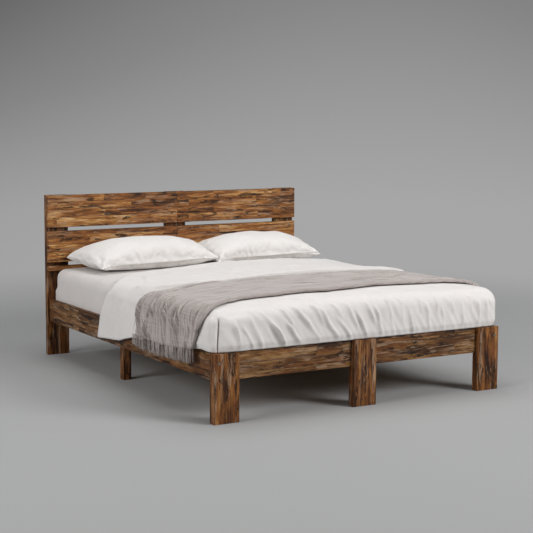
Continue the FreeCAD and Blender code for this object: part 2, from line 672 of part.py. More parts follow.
HANGER_WIDE = "beam_width + 2 * (plate_depth + bore_slack) + 2 * hanger_lip"
HANGER_COLUMNS = ("hanger_lip / 2", "%s - hanger_lip / 2" % HANGER_WIDE)
HANGER_ROWS = ("beam_height + plate_depth - hanger_nail_drop",
               "beam_height + plate_depth - hanger_nail_drop - hanger_nail_pitch")
beam_hanger("beam_hanger_foot", LEG_BACK, "back")
beam_hanger("beam_hanger_head", POST_FRONT + " - plate_depth", "front")

HANGER_FLOOR = "(%s - plate_depth)" % BEAM_FLOOR
hanger_holes = [("leg_width / 2 - (%s) / 2 + %s" % (HANGER_WIDE, across), "%s + %s" % (HANGER_FLOOR, level))
                for across in HANGER_COLUMNS for level in HANGER_ROWS]
nail_holes(foot_leg_center, "back", hanger_holes, "nail_bury")
nail_holes(head_post_center, "front", hanger_holes, "nail_bury")

# Fasteners

BOLT_Z = "rail_lift + " + BOLT_HEIGHT
RAIL_SPAN = "2 * " + RAIL_AXIS


def bed_bolt_nut(x, y):
    """A square nut in its own mortise in the rail, where it takes the end of a bolt."""
    block = doc.addObject("Part::Box", "Nut")
    bind(block, "Length", "nut_width")
    bind(block, "Width", "nut_depth")
    bind(block, "Height", "nut_width")
    place(block, "%s - nut_width / 2" % x, "%s - nut_depth / 2" % y, BOLT_Z + " - nut_width / 2")
    hole = doc.addObject("Part::Cylinder", "Hole")
    bind(hole, "Radius", "bolt_radius + bore_slack")
    bind(hole, "Height", "2 * nut_depth")
    hole.Placement.Rotation = FreeCAD.Rotation(Vector(1, 0, 0), -90)
    place(hole, x, "%s - nut_depth" % y, BOLT_Z)
    cut = doc.addObject("Part::Cut", "BedBoltNut")
    cut.Base = block
    cut.Tool = hole
    return cut


foot_bolt = headed("bolt_radius", "bolt_head_radius", "bolt_head_height",
                   "leg_depth + bolt_bury - bore_slack", True)
single(turned("foot_bolts", "Y", foot_bolt, "-" + RAIL_AXIS, FOOT, BOLT_Z, (("X", RAIL_SPAN, "2"),)))
head_bolt = headed("bolt_radius", "bolt_head_radius", "bolt_head_height",
                   "(post_depth + bolt_bury - bore_slack)", False)
single(turned("head_bolts", "Y", head_bolt, "-" + RAIL_AXIS, POST_FRONT + " - bolt_bury + bore_slack", BOLT_Z,
              (("X", RAIL_SPAN, "2"),)))
group("bed_bolt_nuts", [bed_bolt_nut(x, y) for x in ("-" + RAIL_AXIS, RAIL_AXIS)
                        for y in (LEG_BACK + " + nut_setback", POST_FRONT + " - nut_setback")])
single(turned("rail_dowels", "Y", rod("dowel_radius", "dowel_length - 2 * bore_slack"), "-" + RAIL_AXIS,
              LEG_BACK + " - dowel_length / 2 + bore_slack", "rail_lift + dowel_lift",
              (("X", RAIL_SPAN, "2"), ("Y", "rail_run", "2"))))

COLUMN_PAIRS = (("(overall_width / 2 - leg_width / 2)", "overall_width - leg_width"),
                ("leg_width / 4", "leg_width / 2"))
headboard_nails = []
for row_name, floor, height, rows in BOARD_ROWS:
    for x, span in COLUMN_PAIRS:
        repeats = [("X", span, "2")]
        if len(rows) > 1:
            repeats.append(("Z", "%s - 2 * nail_inset" % height, "2"))
        headboard_nails.append(cut_nails("Y", "post_depth", True, False, "-" + x,
                                         POST_FRONT + " - nail_bury + nail_slack",
                                         "%s + %s" % (floor, rows[0]), repeats))
group("headboard_nails", headboard_nails)

CLEAT_NAIL_Y = "%s + %s" % (LEG_BACK, cleat_nail_reach(0))
cleat_rows = [("Y", CLEAT_NAIL_PITCH, "cleat_nail_count")]
group("cleat_nails", [
    cut_nails("X", "cleat_width", False, False, "-%s - nail_bury + nail_slack" % RAIL_INNER,
              CLEAT_NAIL_Y, CLEAT_NAIL_HEIGHT, cleat_rows),
    cut_nails("X", "cleat_width", False, True, "%s - cleat_width - nail_head_height" % RAIL_INNER,
              CLEAT_NAIL_Y, CLEAT_NAIL_HEIGHT, cleat_rows)])

slat_grid = [("X", "2 * %s - cleat_width" % RAIL_INNER, "2"),
             ("Y", "rail_run - 2 * slat_end_gap - slat_width", "2")]
group("slat_nails", [
    cut_nails("Z", "slat_depth", True, False, "cleat_width / 2 - " + RAIL_INNER,
              LEG_BACK + " + slat_end_gap + slat_width / 2", SLAT_UNDER + " - nail_bury + nail_slack",
              slat_grid)])

MID_NAIL_Y = LEG_BACK + " + mid_leg_place + mid_leg_width / 2"
MID_NAIL_Z = SLAT_UNDER + " - cleat_height * 3 / 4"
mid_rows = [("Z", "cleat_height / 2", "2")]
group("leg_nails", [
    cut_nails("X", "mid_leg_width", False, False, "-%s - nail_bury + nail_slack" % MID_LEG_OUTER,
              MID_NAIL_Y, MID_NAIL_Z, mid_rows),
    cut_nails("X", "mid_leg_width", False, True,
              "%s - mid_leg_width - nail_head_height" % MID_LEG_OUTER, MID_NAIL_Y, MID_NAIL_Z, mid_rows)])

HANGER_NAIL_X = "(hanger_lip - (%s)) / 2" % HANGER_WIDE
HANGER_NAIL_Z = "%s + %s" % (HANGER_FLOOR, HANGER_ROWS[1])
hanger_grid = [("X", "%s - hanger_lip" % HANGER_WIDE, "2"), ("Z", "hanger_nail_pitch", "2")]
group("hanger_nails", [
    cut_nails("Y", "plate_depth", False, False, HANGER_NAIL_X,
              LEG_BACK + " - nail_bury + nail_slack", HANGER_NAIL_Z, hanger_grid),
    cut_nails("Y", "plate_depth", False, True, HANGER_NAIL_X,
              POST_FRONT + " - plate_depth - nail_head_height", HANGER_NAIL_Z, hanger_grid)])

CENTER_LEG_AXIS = LEG_BACK + " + center_leg_place + center_leg_width / 2"
leg_pair = [("Y", "center_leg_pitch", "2")]
single(turned("center_leg_pins", "Z", rod("bolt_radius", "dowel_length"), "0", CENTER_LEG_AXIS,
              BEAM_FLOOR + " - dowel_length / 2", leg_pair))
leveler = headed("bolt_radius", "leveler_radius", "leveler_height", "leveler_height + leveler_stem", True)
single(turned("leveling_feet", "Z", leveler, "0", CENTER_LEG_AXIS, "0", leg_pair))


def slat_strap(x):
    """A length of webbing stapled under the slats, which keeps their spacing."""
    strap = doc.addObject("Part::Box", "Strap")
    bind(strap, "Length", "strap_width")
    bind(strap, "Width", "rail_run - 2 * slat_end_gap")
    bind(strap, "Height", "strap_depth")
    place(strap, x, LEG_BACK + " + slat_end_gap", SLAT_UNDER + " - strap_depth")
    return strap


group("slat_straps", [slat_strap("%sstrap_place - strap_width / 2" % side) for side in ("-", "")])

# Bedding. Its forms are worked out here, in a frame that starts at the foot face on the floor.

HALF_TURN_SHARE = 1 - math.sqrt(0.5)
ROLL_ANGLES = (0, 30, 60, 90)
HEM_ANGLES = (0, 45, 90)
CORNER_STEPS = (Vector(1, 0, 0), Vector(0, 1, 0), Vector(-1, 0, 0), Vector(0, -1, 0))

# Pillow sections: how far along half the width, then depth and height there.
PILLOW_SHARES = (
    (0, 0.92, 1.0), (0.45, 0.93, 0.93), (0.75, 0.96, 0.68), (0.93, 0.99, 0.32), (1, 1.0, 0.06))

# Widths of the folds, one after another along the cloth.
DUVET_SIDE_FOLD_SHARES = (1.0, 0.8, 1.5, 1.2, 0.9, 1.6, 1.3, 1.0, 1.8, 1.4)
DUVET_FOOT_FOLD_SHARES = (0.8, 1.1, 0.9, 1.3, 0.8, 1.2, 1.0, 0.7, 1.3, 0.9, 1.1, 0.8, 1.2, 1.0, 0.9, 1.2)
THROW_FOLD_SHARES = (0.8, 1.0, 0.7, 1.1, 0.9, 0.8, 1.2, 0.7, 1.0)
MARGIN_FOLD_SHARES = (1.0, 1.3, 0.9)

# The doubled throw in plan, from its near left corner round: across as a share of half the flat top,
# along as a share of the throw's width. Every second point is the middle of an arc.
THROW_NEAR_SHARES = (
    (-1, -0.29), (-0.9, -0.15), (-0.75, -0.07), (0, 0), (0.75, -0.04), (0.9, -0.12), (1, -0.21))
THROW_FAR_SHARES = (
    (1, 0.64), (0.87, 0.76), (0.66, 0.92), (0.2, 1.0), (-0.25, 0.99), (-0.65, 0.77), (-1, 0.44))
THROW_MARGIN_SHARES = ((-1, 0.42), (-1, 0.69), (-0.88, 0.745), (-0.68, 0.745), (-0.68, 0.6))

OVERRUN_SHARE = 0.2
TASSEL_SWAY_SHARES = (-0.5, 0.3, 0.1, 0.6, -0.2)


def soft(label, shape, x, y, z):
    """A soft piece as one finished solid, put at its place."""
    piece = doc.addObject("Part::Feature", label)
    piece.Label = label
    piece.Shape = shape
    place(piece, x, y, z)
    NODES.append(piece)


def outline(start, *steps):
    """A closed wire: each step is a point for a line, or a (middle, end) pair for an arc."""
    edges = []
    here = start
    for step in steps:
        if isinstance(step, tuple):
            edges.append(Part.Arc(here, *step).toShape())
            here = step[1]
        else:
            edges.append(Part.makeLine(here, step))
            here = step
    if not here.isEqual(start, Part.Precision.confusion()):
        edges.append(Part.makeLine(here, start))
    return Part.Wire(edges)


def prism(wire, travel):
    """A flat closed wire pushed along a vector."""
    return Part.Face(wire).extrude(travel)


def rounded_rectangle(half_wide, half_deep, radius, z):
    """A centred rectangle with round corners, at one height."""
    edges = []
    for index, step_in in enumerate(CORNER_STEPS):
        step_out = CORNER_STEPS[(index + 1) % 4]
        corner = Vector(half_wide * (step_in.x - step_out.x), half_deep * (step_in.y - step_out.y), z)
        edges.append(corner - step_in * radius)
        edges.append((corner + (step_out - step_in) * radius * HALF_TURN_SHARE, corner + step_out * radius))
    return outline(edges[-1][1], *edges)


def mattress_form():
    """A mattress with a rolled top edge, tape edges drawn in and a low crown, on its own base centre."""
    rail_inner = size("overall_width") / 2 - size("side_rail_inset") - size("rail_depth")
    half_wide = rail_inner - size("mattress_side_gap")
    half_deep = size("rail_run") / 2 - size("mattress_end_gap")
    roll, hem, pull = size("mattress_roll"), size("mattress_hem"), size("mattress_pull")
    shoulder = size("mattress_height") - size("mattress_crown") - roll
    levels = []
    for angle in HEM_ANGLES:
        turn = math.radians(angle)
        levels.append((hem * (1 - math.cos(turn)), pull + hem * (1 - math.sin(turn))))
    levels.append(((hem + shoulder) / 2, 0))
    for angle in ROLL_ANGLES:
        turn = math.radians(angle)
        levels.append((shoulder + roll * math.sin(turn), pull + roll * (1 - math.cos(turn))))
    levels.append((size("mattress_height"), size("mattress_crown_inset")))
    corner = size("mattress_corner")
    sections = [rounded_rectangle(half_wide - inset, half_deep - inset, max(corner - inset, corner / 4), z)
                for z, inset in levels]
    return Part.makeLoft(sections, True, True)


def pillow_form():
    """A plump pillow: two crowned faces that meet in a seam, with the middle of each side drawn in."""
    sections = []
    seam = size("pillow_seam")
    # The leaning underside is a shallow curve, lowest in front of its middle by this much.
    dip = size("pillow_lean") ** 2 / (14 * seam)
    mirrored = [(-along, deep, tall) for along, deep, tall in reversed(PILLOW_SHARES[1:])]
    for along_share, depth_share, height_share in mirrored + list(PILLOW_SHARES):
        x = along_share * size("pillow_width") / 2
        reach = depth_share * size("pillow_depth") / 2
        front = Vector(x, -reach, seam - size("pillow_lean") / 2)
        back = Vector(x, reach, seam + size("pillow_lean") / 2)
        top = Vector(x, 0, seam + (size("pillow_height") - seam) * height_share)
        under = Vector(x, 0, seam * (1 - height_share) + dip)
        sections.append(outline(front, (top, back), (under, front)))
    return Part.makeLoft(sections, True, True)


def fold_ends(shares, sweep_share=0):
    """Where each fold begins and ends along the cloth, with the folds between its edges swept sideways."""
    inside = [sum(shares[:index]) / sum(shares) + sweep_share for index in range(1, len(shares))]
    return [0] + inside + [1]


def cloth_section(start, run, thick, fold, shares, sweep_share=0):
    """Hanging cloth cut across at one height: a line of folds, doubled by its thickness."""
    ends = fold_ends(shares, sweep_share)
    swings = [fold * (1 if index % 2 else -1) for index in range(len(shares))]

    def to(index, end_share, offset):
        middle = start + run * ((ends[index] + ends[index + 1]) / 2) + swings[index] + offset
        end = start + run * end_share + offset
        return (middle, end) if fold.Length else end

    outer = [to(index, ends[index + 1], Vector()) for index in range(len(shares))]
    inner = [to(index, ends[index], thick) for index in reversed(range(len(shares)))]
    return outline(start, *outer, start + run + thick, *inner)


def mirror_sides(shape):
    """The shape and its mirror image over the centre line."""
    return [shape, shape.mirror(Vector(), Vector(1, 0, 0))]


DECK = size("rail_lift") + size("rail_height") - size("slat_drop")
LEG_TOP = size("rail_lift") + size("rail_height")
MATTRESS_TOP = DECK + size("soft_gap") + size("mattress_height")
DUVET_TOP = MATTRESS_TOP + size("soft_gap") + size("duvet_depth")
FOLDS_START = DUVET_TOP - size("duvet_drop")
THROW_FLOOR = DUVET_TOP + size("soft_gap")
DUVET_SIDE = size("overall_width") / 2 + size("duvet_overhang")
THROW_SIDE = DUVET_SIDE + size("throw_clear")
THROW_BEND = size("duvet_shoulder") + size("soft_gap")


def shoulder_profile(half_wide, top, radius, under):
    """An upright section with both upper corners rounded."""
    turn = radius * HALF_TURN_SHARE
    return outline(
        Vector(-half_wide, 0, under), Vector(-half_wide, 0, top - radius),
        (Vector(-half_wide + turn, 0, top - turn), Vector(-half_wide + radius, 0, top)),
        Vector(half_wide - radius, 0, top),
        (Vector(half_wide - turn, 0, top - turn), Vector(half_wide, 0, top - radius)),
        Vector(half_wide, 0, under))


def end_profile(front, back, top, front_radius, back_radius, under):
    """A section along the bed, with its upper corners rounded to two radii."""
    front_turn, back_turn = front_radius * HALF_TURN_SHARE, back_radius * HALF_TURN_SHARE
    return outline(
        Vector(0, front, under), Vector(0, front, top - front_radius),
        (Vector(0, front + front_turn, top - front_turn), Vector(0, front + front_radius, top)),
        Vector(0, back - back_radius, top),
        (Vector(0, back - back_turn, top - back_turn), Vector(0, back, top - back_radius)),
        Vector(0, back, under))


def shell_block(half_wide, front, back, top, radius, back_radius, under):
    """A block whose sides and foot end turn down in rounded shoulders."""
    along = prism(shoulder_profile(half_wide, top, radius, under), Vector(0, back, 0))
    across = prism(end_profile(front, back, top, radius, back_radius, under), Vector(2 * half_wide, 0, 0))
    across.translate(Vector(-half_wide, 0, 0))
    return along.common(across)


def duvet_form():
    """A duvet over the mattress: rounded shoulders, folded sides and foot, and a turned-back corner."""
    half_wide, wall = DUVET_SIDE, size("duvet_wall")
    front = size("duvet_foot_inset")
    reach, shoulder = size("duvet_reach"), size("duvet_shoulder")
    cover = shell_block(half_wide, front, reach, DUVET_TOP, shoulder, size("duvet_head_roll"), FOLDS_START)
    room = shell_block(half_wide - wall, front + size("duvet_foot_wall"), reach + shoulder,
                       DUVET_TOP - size("duvet_depth"), shoulder - wall, shoulder - wall, FOLDS_START - wall)
    cover = cover.cut(room)
    return cover.fuse(duvet_folds()).removeSplitter().cut(duvet_corner())


def duvet_folds():
    """The hanging sides and the hanging foot end, below the shoulders."""
    half_wide, wall, hem = DUVET_SIDE, size("duvet_wall"), size("duvet_hem_depth")
    start_y = size("leg_depth") + size("duvet_wall") / 8
    run = size("duvet_reach") - start_y
    top_run = Vector(0, run, 0)
    level = LEG_TOP + size("soft_gap")
    hem_fall = size("duvet_hem_low") - level
    fold = size("duvet_fold")
    side = Part.makeLoft([
        cloth_section(Vector(-half_wide, start_y, FOLDS_START), top_run, Vector(wall, 0, 0), Vector(),
                      DUVET_SIDE_FOLD_SHARES),
        cloth_section(Vector(fold - half_wide, start_y, level), Vector(0, run, hem_fall), Vector(hem, 0, 0),
                      Vector(fold, 0, 0), DUVET_SIDE_FOLD_SHARES)], True, True)
    foot_run, foot_wall = Vector(2 * half_wide, 0, 0), Vector(0, size("duvet_foot_wall"), 0)
    foot_fold, front = size("duvet_foot_fold"), size("duvet_foot_inset")
    foot = Part.makeLoft([
        cloth_section(Vector(-half_wide, front, FOLDS_START), foot_run, foot_wall, Vector(),
                      DUVET_FOOT_FOLD_SHARES),
        cloth_section(Vector(-half_wide, front, level), foot_run, foot_wall, Vector(0, foot_fold, 0),
                      DUVET_FOOT_FOLD_SHARES, size("duvet_foot_sweep") / foot_run.Length)], True, True)
    return mirror_sides(side) + [foot]


def duvet_corner():
    """What the turned-back head corner leaves open, leaning towards the head at the hem."""
    half_wide, reach = DUVET_SIDE, size("duvet_reach")
    across, along, bow = size("duvet_corner_across"), size("duvet_corner_along"), size("duvet_corner_bow")
    wires = []
    for level_share in (-OVERRUN_SHARE, 1 + OVERRUN_SHARE):
        shift = size("duvet_corner_lean") * level_share
        z = DUVET_TOP + (size("duvet_hem_low") - DUVET_TOP) * level_share
        inner = Vector(across - half_wide, reach + shift, z)
        outer = inner - Vector(across, along, 0) * (1 + OVERRUN_SHARE)
        middle = (inner + outer) / 2 + Vector(-bow, bow, 0) / math.sqrt(2)
        far_y = reach + along
        wires.append(outline(outer, (middle, inner), Vector(inner.x, far_y, z), Vector(outer.x, far_y, z)))
    return Part.makeLoft(wires, True, True)


def throw_edge(shares):
    """One long edge of the throw's flat top, in plan."""
    half_wide = THROW_SIDE - THROW_BEND
    return [Vector(across * half_wide, size("throw_place") + along * size("throw_width"), THROW_FLOOR)
            for across, along in shares]


def arcs(points):
    """Points taken two by two as the middle and the end of an arc."""
    return list(zip(points[0::2], points[1::2]))


def throw_shoulder(side, near, far, thick):
    """The quarter bend of the throw where it turns down a side."""
    centre = Vector(side * (THROW_SIDE - THROW_BEND), near, THROW_FLOOR - THROW_BEND)
    outer, inner = THROW_BEND + thick, THROW_BEND
    slant = Vector(side * math.sqrt(0.5), 0, math.sqrt(0.5))
    sideways, upwards = Vector(side, 0, 0), Vector(0, 0, 1)
    ring = outline(centre + upwards * outer, (centre + slant * outer, centre + sideways * outer),
                   centre + sideways * inner, (centre + slant * inner, centre + upwards * inner))
    return prism(ring, Vector(0, far - near, 0))


def throw_drop(side, top, hem, thick, levels, shares):
    """The hanging end of the throw, from its shoulder to its hem, as (near, far) places along the bed."""
    flare, fold = size("throw_flare"), Vector(size("throw_fold"), 0, 0)
    depth = Vector(-side * thick, 0, 0)
    upper = cloth_section(Vector(side * (THROW_SIDE + thick), top[0], THROW_FLOOR - THROW_BEND),
                          Vector(0, top[1] - top[0], 0), depth, Vector(), shares)
    lower = cloth_section(Vector(side * (THROW_SIDE + thick + flare), hem[0], levels[0]),
                          Vector(0, hem[1] - hem[0], levels[1] - levels[0]), depth, fold, shares)
    return Part.makeLoft([upper, lower], True, True)


def throw_sides():
    """Each hanging part of the throw: its side, shoulder and hem places, thickness, hem levels and folds."""
    doubled, single_layer = 2 * size("throw_layer"), size("throw_layer")
    near_level, far_level = size("throw_hem_near"), size("throw_hem_far")
    parts = []
    for side in (-1, 1):
        near, far = (throw_edge(shares)[end].y for shares, end in (
            (THROW_NEAR_SHARES, 0 if side < 0 else -1), (THROW_FAR_SHARES, -1 if side < 0 else 0)))
        hem = (near + size("throw_near_sweep"), far + size("throw_far_sweep"))
        parts.append((side, (near, far), hem, doubled, (near_level, far_level), THROW_FOLD_SHARES))
        if side < 0:
            top = (far - size("throw_lap"), far + size("throw_margin"))
            hem = (hem[1] - size("throw_lap"), top[1] + size("throw_margin_sweep"))
            parts.append((side, top, hem, single_layer, (far_level, far_level), MARGIN_FOLD_SHARES))
    return parts


def throw_form():
    """A throw folded double and laid across the bed, with one layer showing past the other on the left."""
    near, far = throw_edge(THROW_NEAR_SHARES), throw_edge(THROW_FAR_SHARES)
    margin = throw_edge(THROW_MARGIN_SHARES)
    pieces = [prism(outline(margin[0], margin[1], *arcs(margin[2:4]), margin[4]),
                    Vector(0, 0, size("throw_layer")))]
    for side, top, hem, thick, levels, shares in throw_sides():
        pieces.append(throw_shoulder(side, top[0], top[1], thick))
        pieces.append(throw_drop(side, top, hem, thick, levels, shares))
    plan = outline(near[0], *arcs(near[1:]), far[0], *arcs(far[1:]))
    band = prism(plan, Vector(0, 0, 2 * size("throw_layer")))
    return band.fuse(pieces).removeSplitter()


def fringe_form():
    """Short tassels under both hems of the throw."""
    wide, deep, long = size("tassel_width"), size("tassel_depth"), size("fringe_length")
    tassels = []
    for side, top, hem, thick, levels, shares in throw_sides():
        pitch = (hem[1] - hem[0]) / round((hem[1] - hem[0]) / (2 * wide))
        x = side * (THROW_SIDE + size("throw_flare") + thick / 2)
        for index in range(round((hem[1] - hem[0]) / pitch)):
            along_share = (index + 0.5) * pitch / (hem[1] - hem[0])
            y = hem[0] + (hem[1] - hem[0]) * along_share
            swing = size("throw_fold") * fold_swing(shares, along_share)
            z = levels[0] + (levels[1] - levels[0]) * along_share - size("tassel_gap")
            sway = TASSEL_SWAY_SHARES[index % len(TASSEL_SWAY_SHARES)] * wide
            upper = tassel_section(x + swing, y, z, wide, deep)
            lower = tassel_section(x + swing, y + sway, z - long, wide / 2, deep)
            tassels.append(Part.makeLoft([upper, lower], True, True))
    return Part.makeCompound(tassels)


def fold_swing(shares, along_share):
    """How far the cloth is swung out at a place along its folds, as a share of the full swing."""
    ends = fold_ends(shares)
    index = max(number for number in range(len(shares)) if ends[number] <= along_share)
    local = (along_share - ends[index]) / (ends[index + 1] - ends[index])
    return math.sin(math.pi * local) * (1 if index % 2 else -1)


def tassel_section(x, y, z, wide, deep):
    """A level rectangle about a point."""
    corners = [Vector(x + u * deep / 2, y + v * wide / 2, z) for u, v in ((-1, -1), (1, -1), (1, 1), (-1, 1))]
    return outline(*corners)


soft("mattress", mattress_form(), "0", LEG_BACK + " + rail_run / 2", SLAT_TOP + " + soft_gap")
for side_name, pillow_x, back_gap in (("left", "-pillow_left_place", "pillow_left_back"),
                                      ("right", "pillow_right_place", "pillow_right_back")):
    soft("pillow_" + side_name, pillow_form(), pillow_x,
         "%s - headboard_depth - %s - pillow_depth / 2" % (POST_FRONT, back_gap),
         SLAT_TOP + " + mattress_height + 2 * soft_gap")
soft("duvet", duvet_form(), "0", FOOT, "0")
soft("throw", throw_form(), "0", FOOT, "0")
soft("throw_fringe", fringe_form(), "0", FOOT, "0")

# Every object has to be sound before anything is written.

doc.recompute()
for thing in doc.Objects:
    if "Invalid" in thing.State or "Error" in thing.State:
        raise RuntimeError("%s failed to rebuild" % thing.Label)
for node in NODES:
    if node.Shape.isNull() or not node.Shape.isValid() or not node.Shape.Solids:
        raise RuntimeError("%s has no sound solid" % node.Label)

os.makedirs("parts", exist_ok=True)
for node in NODES:
    node.Shape.exportStep("parts/%s.step" % node.Label)
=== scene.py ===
import math
import random

import bmesh
import bpy
import numpy as np
from mathutils import Matrix, Vector


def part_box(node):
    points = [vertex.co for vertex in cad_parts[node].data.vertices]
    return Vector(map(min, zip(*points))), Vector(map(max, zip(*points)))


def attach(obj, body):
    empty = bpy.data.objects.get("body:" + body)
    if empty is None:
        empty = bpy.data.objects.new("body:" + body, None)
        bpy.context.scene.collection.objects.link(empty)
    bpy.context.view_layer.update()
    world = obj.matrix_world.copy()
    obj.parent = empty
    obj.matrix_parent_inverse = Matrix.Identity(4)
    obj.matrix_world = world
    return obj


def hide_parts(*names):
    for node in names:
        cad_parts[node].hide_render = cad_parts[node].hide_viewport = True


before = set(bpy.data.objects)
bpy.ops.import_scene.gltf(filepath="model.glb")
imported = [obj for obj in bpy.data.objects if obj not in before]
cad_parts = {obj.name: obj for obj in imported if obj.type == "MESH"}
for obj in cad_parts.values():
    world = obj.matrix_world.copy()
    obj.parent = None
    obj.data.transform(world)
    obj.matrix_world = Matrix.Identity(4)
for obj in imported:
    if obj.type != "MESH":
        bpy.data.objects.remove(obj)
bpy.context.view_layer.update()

bl_info = {
    "name": "Reclaimed Wood Platform Bed",
    "version": (1, 0, 0),
    "blender": (4, 5, 0),
    "location": "View3D > Sidebar > Bed",
    "description": "Finishes the wood and makes the bedding of a platform bed",
    "category": "Object",
}

# Lengths are in metres. The photograph's places along the bed are counted from the foot legs' front.
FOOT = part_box("foot_leg_left")[0].y
MATTRESS_LOW, MATTRESS_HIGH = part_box("mattress")
DUVET_LOW, DUVET_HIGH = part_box("duvet")
SIDE = DUVET_HIGH.x
DUVET_TOP = DUVET_HIGH.z - 0.0005
DUVET_FOOT = DUVET_LOW.y
DUVET_HEAD = DUVET_HIGH.y
SHOULDER = 0.070  # radius where the duvet turns down
CROWN = 0.036  # rise of the duvet along the bed's middle line
SIDE_FALL = 0.014  # fall of the duvet's top
FOOT_HEM = 0.333  # height of the duvet's foot hem above the floor
HAIR = 1e-5  # what counts as the same place
SLATS = ["slat_%02d" % number for number in range(1, 14)]

WORN_BOARDS = {
    "foot_leg_left": "z", "foot_leg_center": "z", "foot_leg_right": "z",
    "foot_rail_left": "x", "foot_rail_right": "x",
    "side_rail_left_front": "y", "side_rail_left_rear": "y",
    "side_rail_right_front": "y", "side_rail_right_rear": "y",
    "head_post_left": "z", "head_post_center": "z", "head_post_right": "z",
    "head_rail_left": "x", "head_rail_right": "x",
    "headboard_upper_left": "x", "headboard_upper_right": "x",
    "headboard_middle_left": "x", "headboard_middle_right": "x",
    "headboard_lower_left": "x", "headboard_lower_right": "x",
    "side_mid_leg_left": "z", "side_mid_leg_right": "z",
}
PINE_BOARDS = {
    "side_cleat_left": "y", "side_cleat_right": "y", "center_beam": "y",
    "center_leg_front": "z", "center_leg_rear": "z",
}
# How a board's own axes turn so that its grain lies along the figure's first one.
GRAIN_TURNS = {"x": (0, 0, 0), "y": (0, 0, math.radians(-90)), "z": (0, math.radians(90), 0)}


def linear(text):
    """An sRGB hex colour as Blender's linear one."""
    parts = [int(text[i:i + 2], 16) / 255 for i in (1, 3, 5)]
    return tuple(p / 12.92 if p <= 0.04045 else ((p + 0.055) / 1.055) ** 2.4 for p in parts) + (1.0,)


def add_node(tree, kind, inputs=None, **settings):
    """Adds a node with its settings, and gives its sockets values or links."""
    made = tree.nodes.new("ShaderNode" + kind)
    for key, value in settings.items():
        setattr(made, key, value)
    for key, value in (inputs or {}).items():
        if isinstance(value, bpy.types.NodeSocket):
            tree.links.new(value, made.inputs[key])
        else:
            made.inputs[key].default_value = value
    return made


def new_material(name):
    """An empty material with its Principled shader."""
    material = bpy.data.materials.new(name)
    material.use_nodes = True
    tree = material.node_tree
    tree.nodes.clear()
    shader = add_node(tree, "BsdfPrincipled")
    add_node(tree, "OutputMaterial", {"Surface": shader.outputs[0]})
    return material, tree, shader


def set_ramp(node, stops):
    """Places a colour ramp's stops: (position, sRGB hex)."""
    elements = node.color_ramp.elements
    while len(elements) < len(stops):
        elements.new(1.0)
    for element, (place, colour) in zip(elements, stops):
        element.position = place
        element.color = linear(colour)
    return node.outputs[0]


def mixed(tree, amount, first, second, blend="MIX"):
    """A colour mix of two colours or links."""
    node = add_node(tree, "Mix", {0: amount, 6: first, 7: second}, data_type="RGBA", blend_type=blend)
    return node.outputs[2]


def math_of(tree, operation, *values, clamp=False):
    """A sum, product or other figure of values or links."""
    return add_node(tree, "Math", dict(enumerate(values)), operation=operation, use_clamp=clamp).outputs[0]


def times(tree, first, second):
    """The product of two values or links."""
    return math_of(tree, "MULTIPLY", first, second)


def weighed(tree, value, weight, rest):
    """A value times its weight, with the rest added."""
    return math_of(tree, "MULTIPLY_ADD", value, weight, rest)


def spread(tree, value, low, high, start=0.0, end=1.0):
    """A value that runs from start to end, spread over low to high."""
    return add_node(tree, "MapRange", {0: value, 1: start, 2: end, 3: low, 4: high}).outputs[0]


def stretched(tree, source, scale, shift=(0, 0, 0)):
    """The coordinates stretched by a scale and shifted."""
    return add_node(tree, "Mapping", {"Vector": source, "Scale": scale, "Location": shift}).outputs[0]


def noise_of(tree, vector, detail=4.0, roughness=0.55, distortion=0.0):
    """A noise value over the given coordinates."""
    return add_node(tree, "TexNoise", {
        "Vector": vector, "Scale": 1.0, "Detail": detail, "Roughness": roughness, "Distortion": distortion,
    }).outputs[0]


def stepped(tree, value, low, high):
    """A soft step from 0 to 1 between two values."""
    return add_node(tree, "MapRange", {0: value, 1: low, 2: high, 3: 0.0, 4: 1.0},
                    interpolation_type="SMOOTHSTEP").outputs[0]


def along_grain(tree, grain, seed):
    """Coordinates along a board's grain, at a place of its own in the figure."""
    pick = random.Random(seed)
    shift = [pick.uniform(-9, 9) for _ in range(3)]
    place = add_node(tree, "TexCoord").outputs["Object"]
    turned = add_node(tree, "Mapping", {"Vector": place, "Rotation": GRAIN_TURNS[grain]}).outputs[0]
    return add_node(tree, "Mapping", {"Vector": turned, "Location": shift}).outputs[0]


def finish(tree, shader, colour, rough, height, strength, depth, uniform=()):
    """Links a surface's colour, roughness and relief, whose depth is in metres, and sets its uniform values."""
    bump = add_node(tree, "Bump", {"Strength": strength, "Distance": depth, "Height": height})
    for socket, link in (("Base Color", colour), ("Roughness", rough), ("Normal", bump.outputs[0])):
        tree.links.new(link, shader.inputs[socket])
    for socket, value in uniform:
        shader.inputs[socket].default_value = value


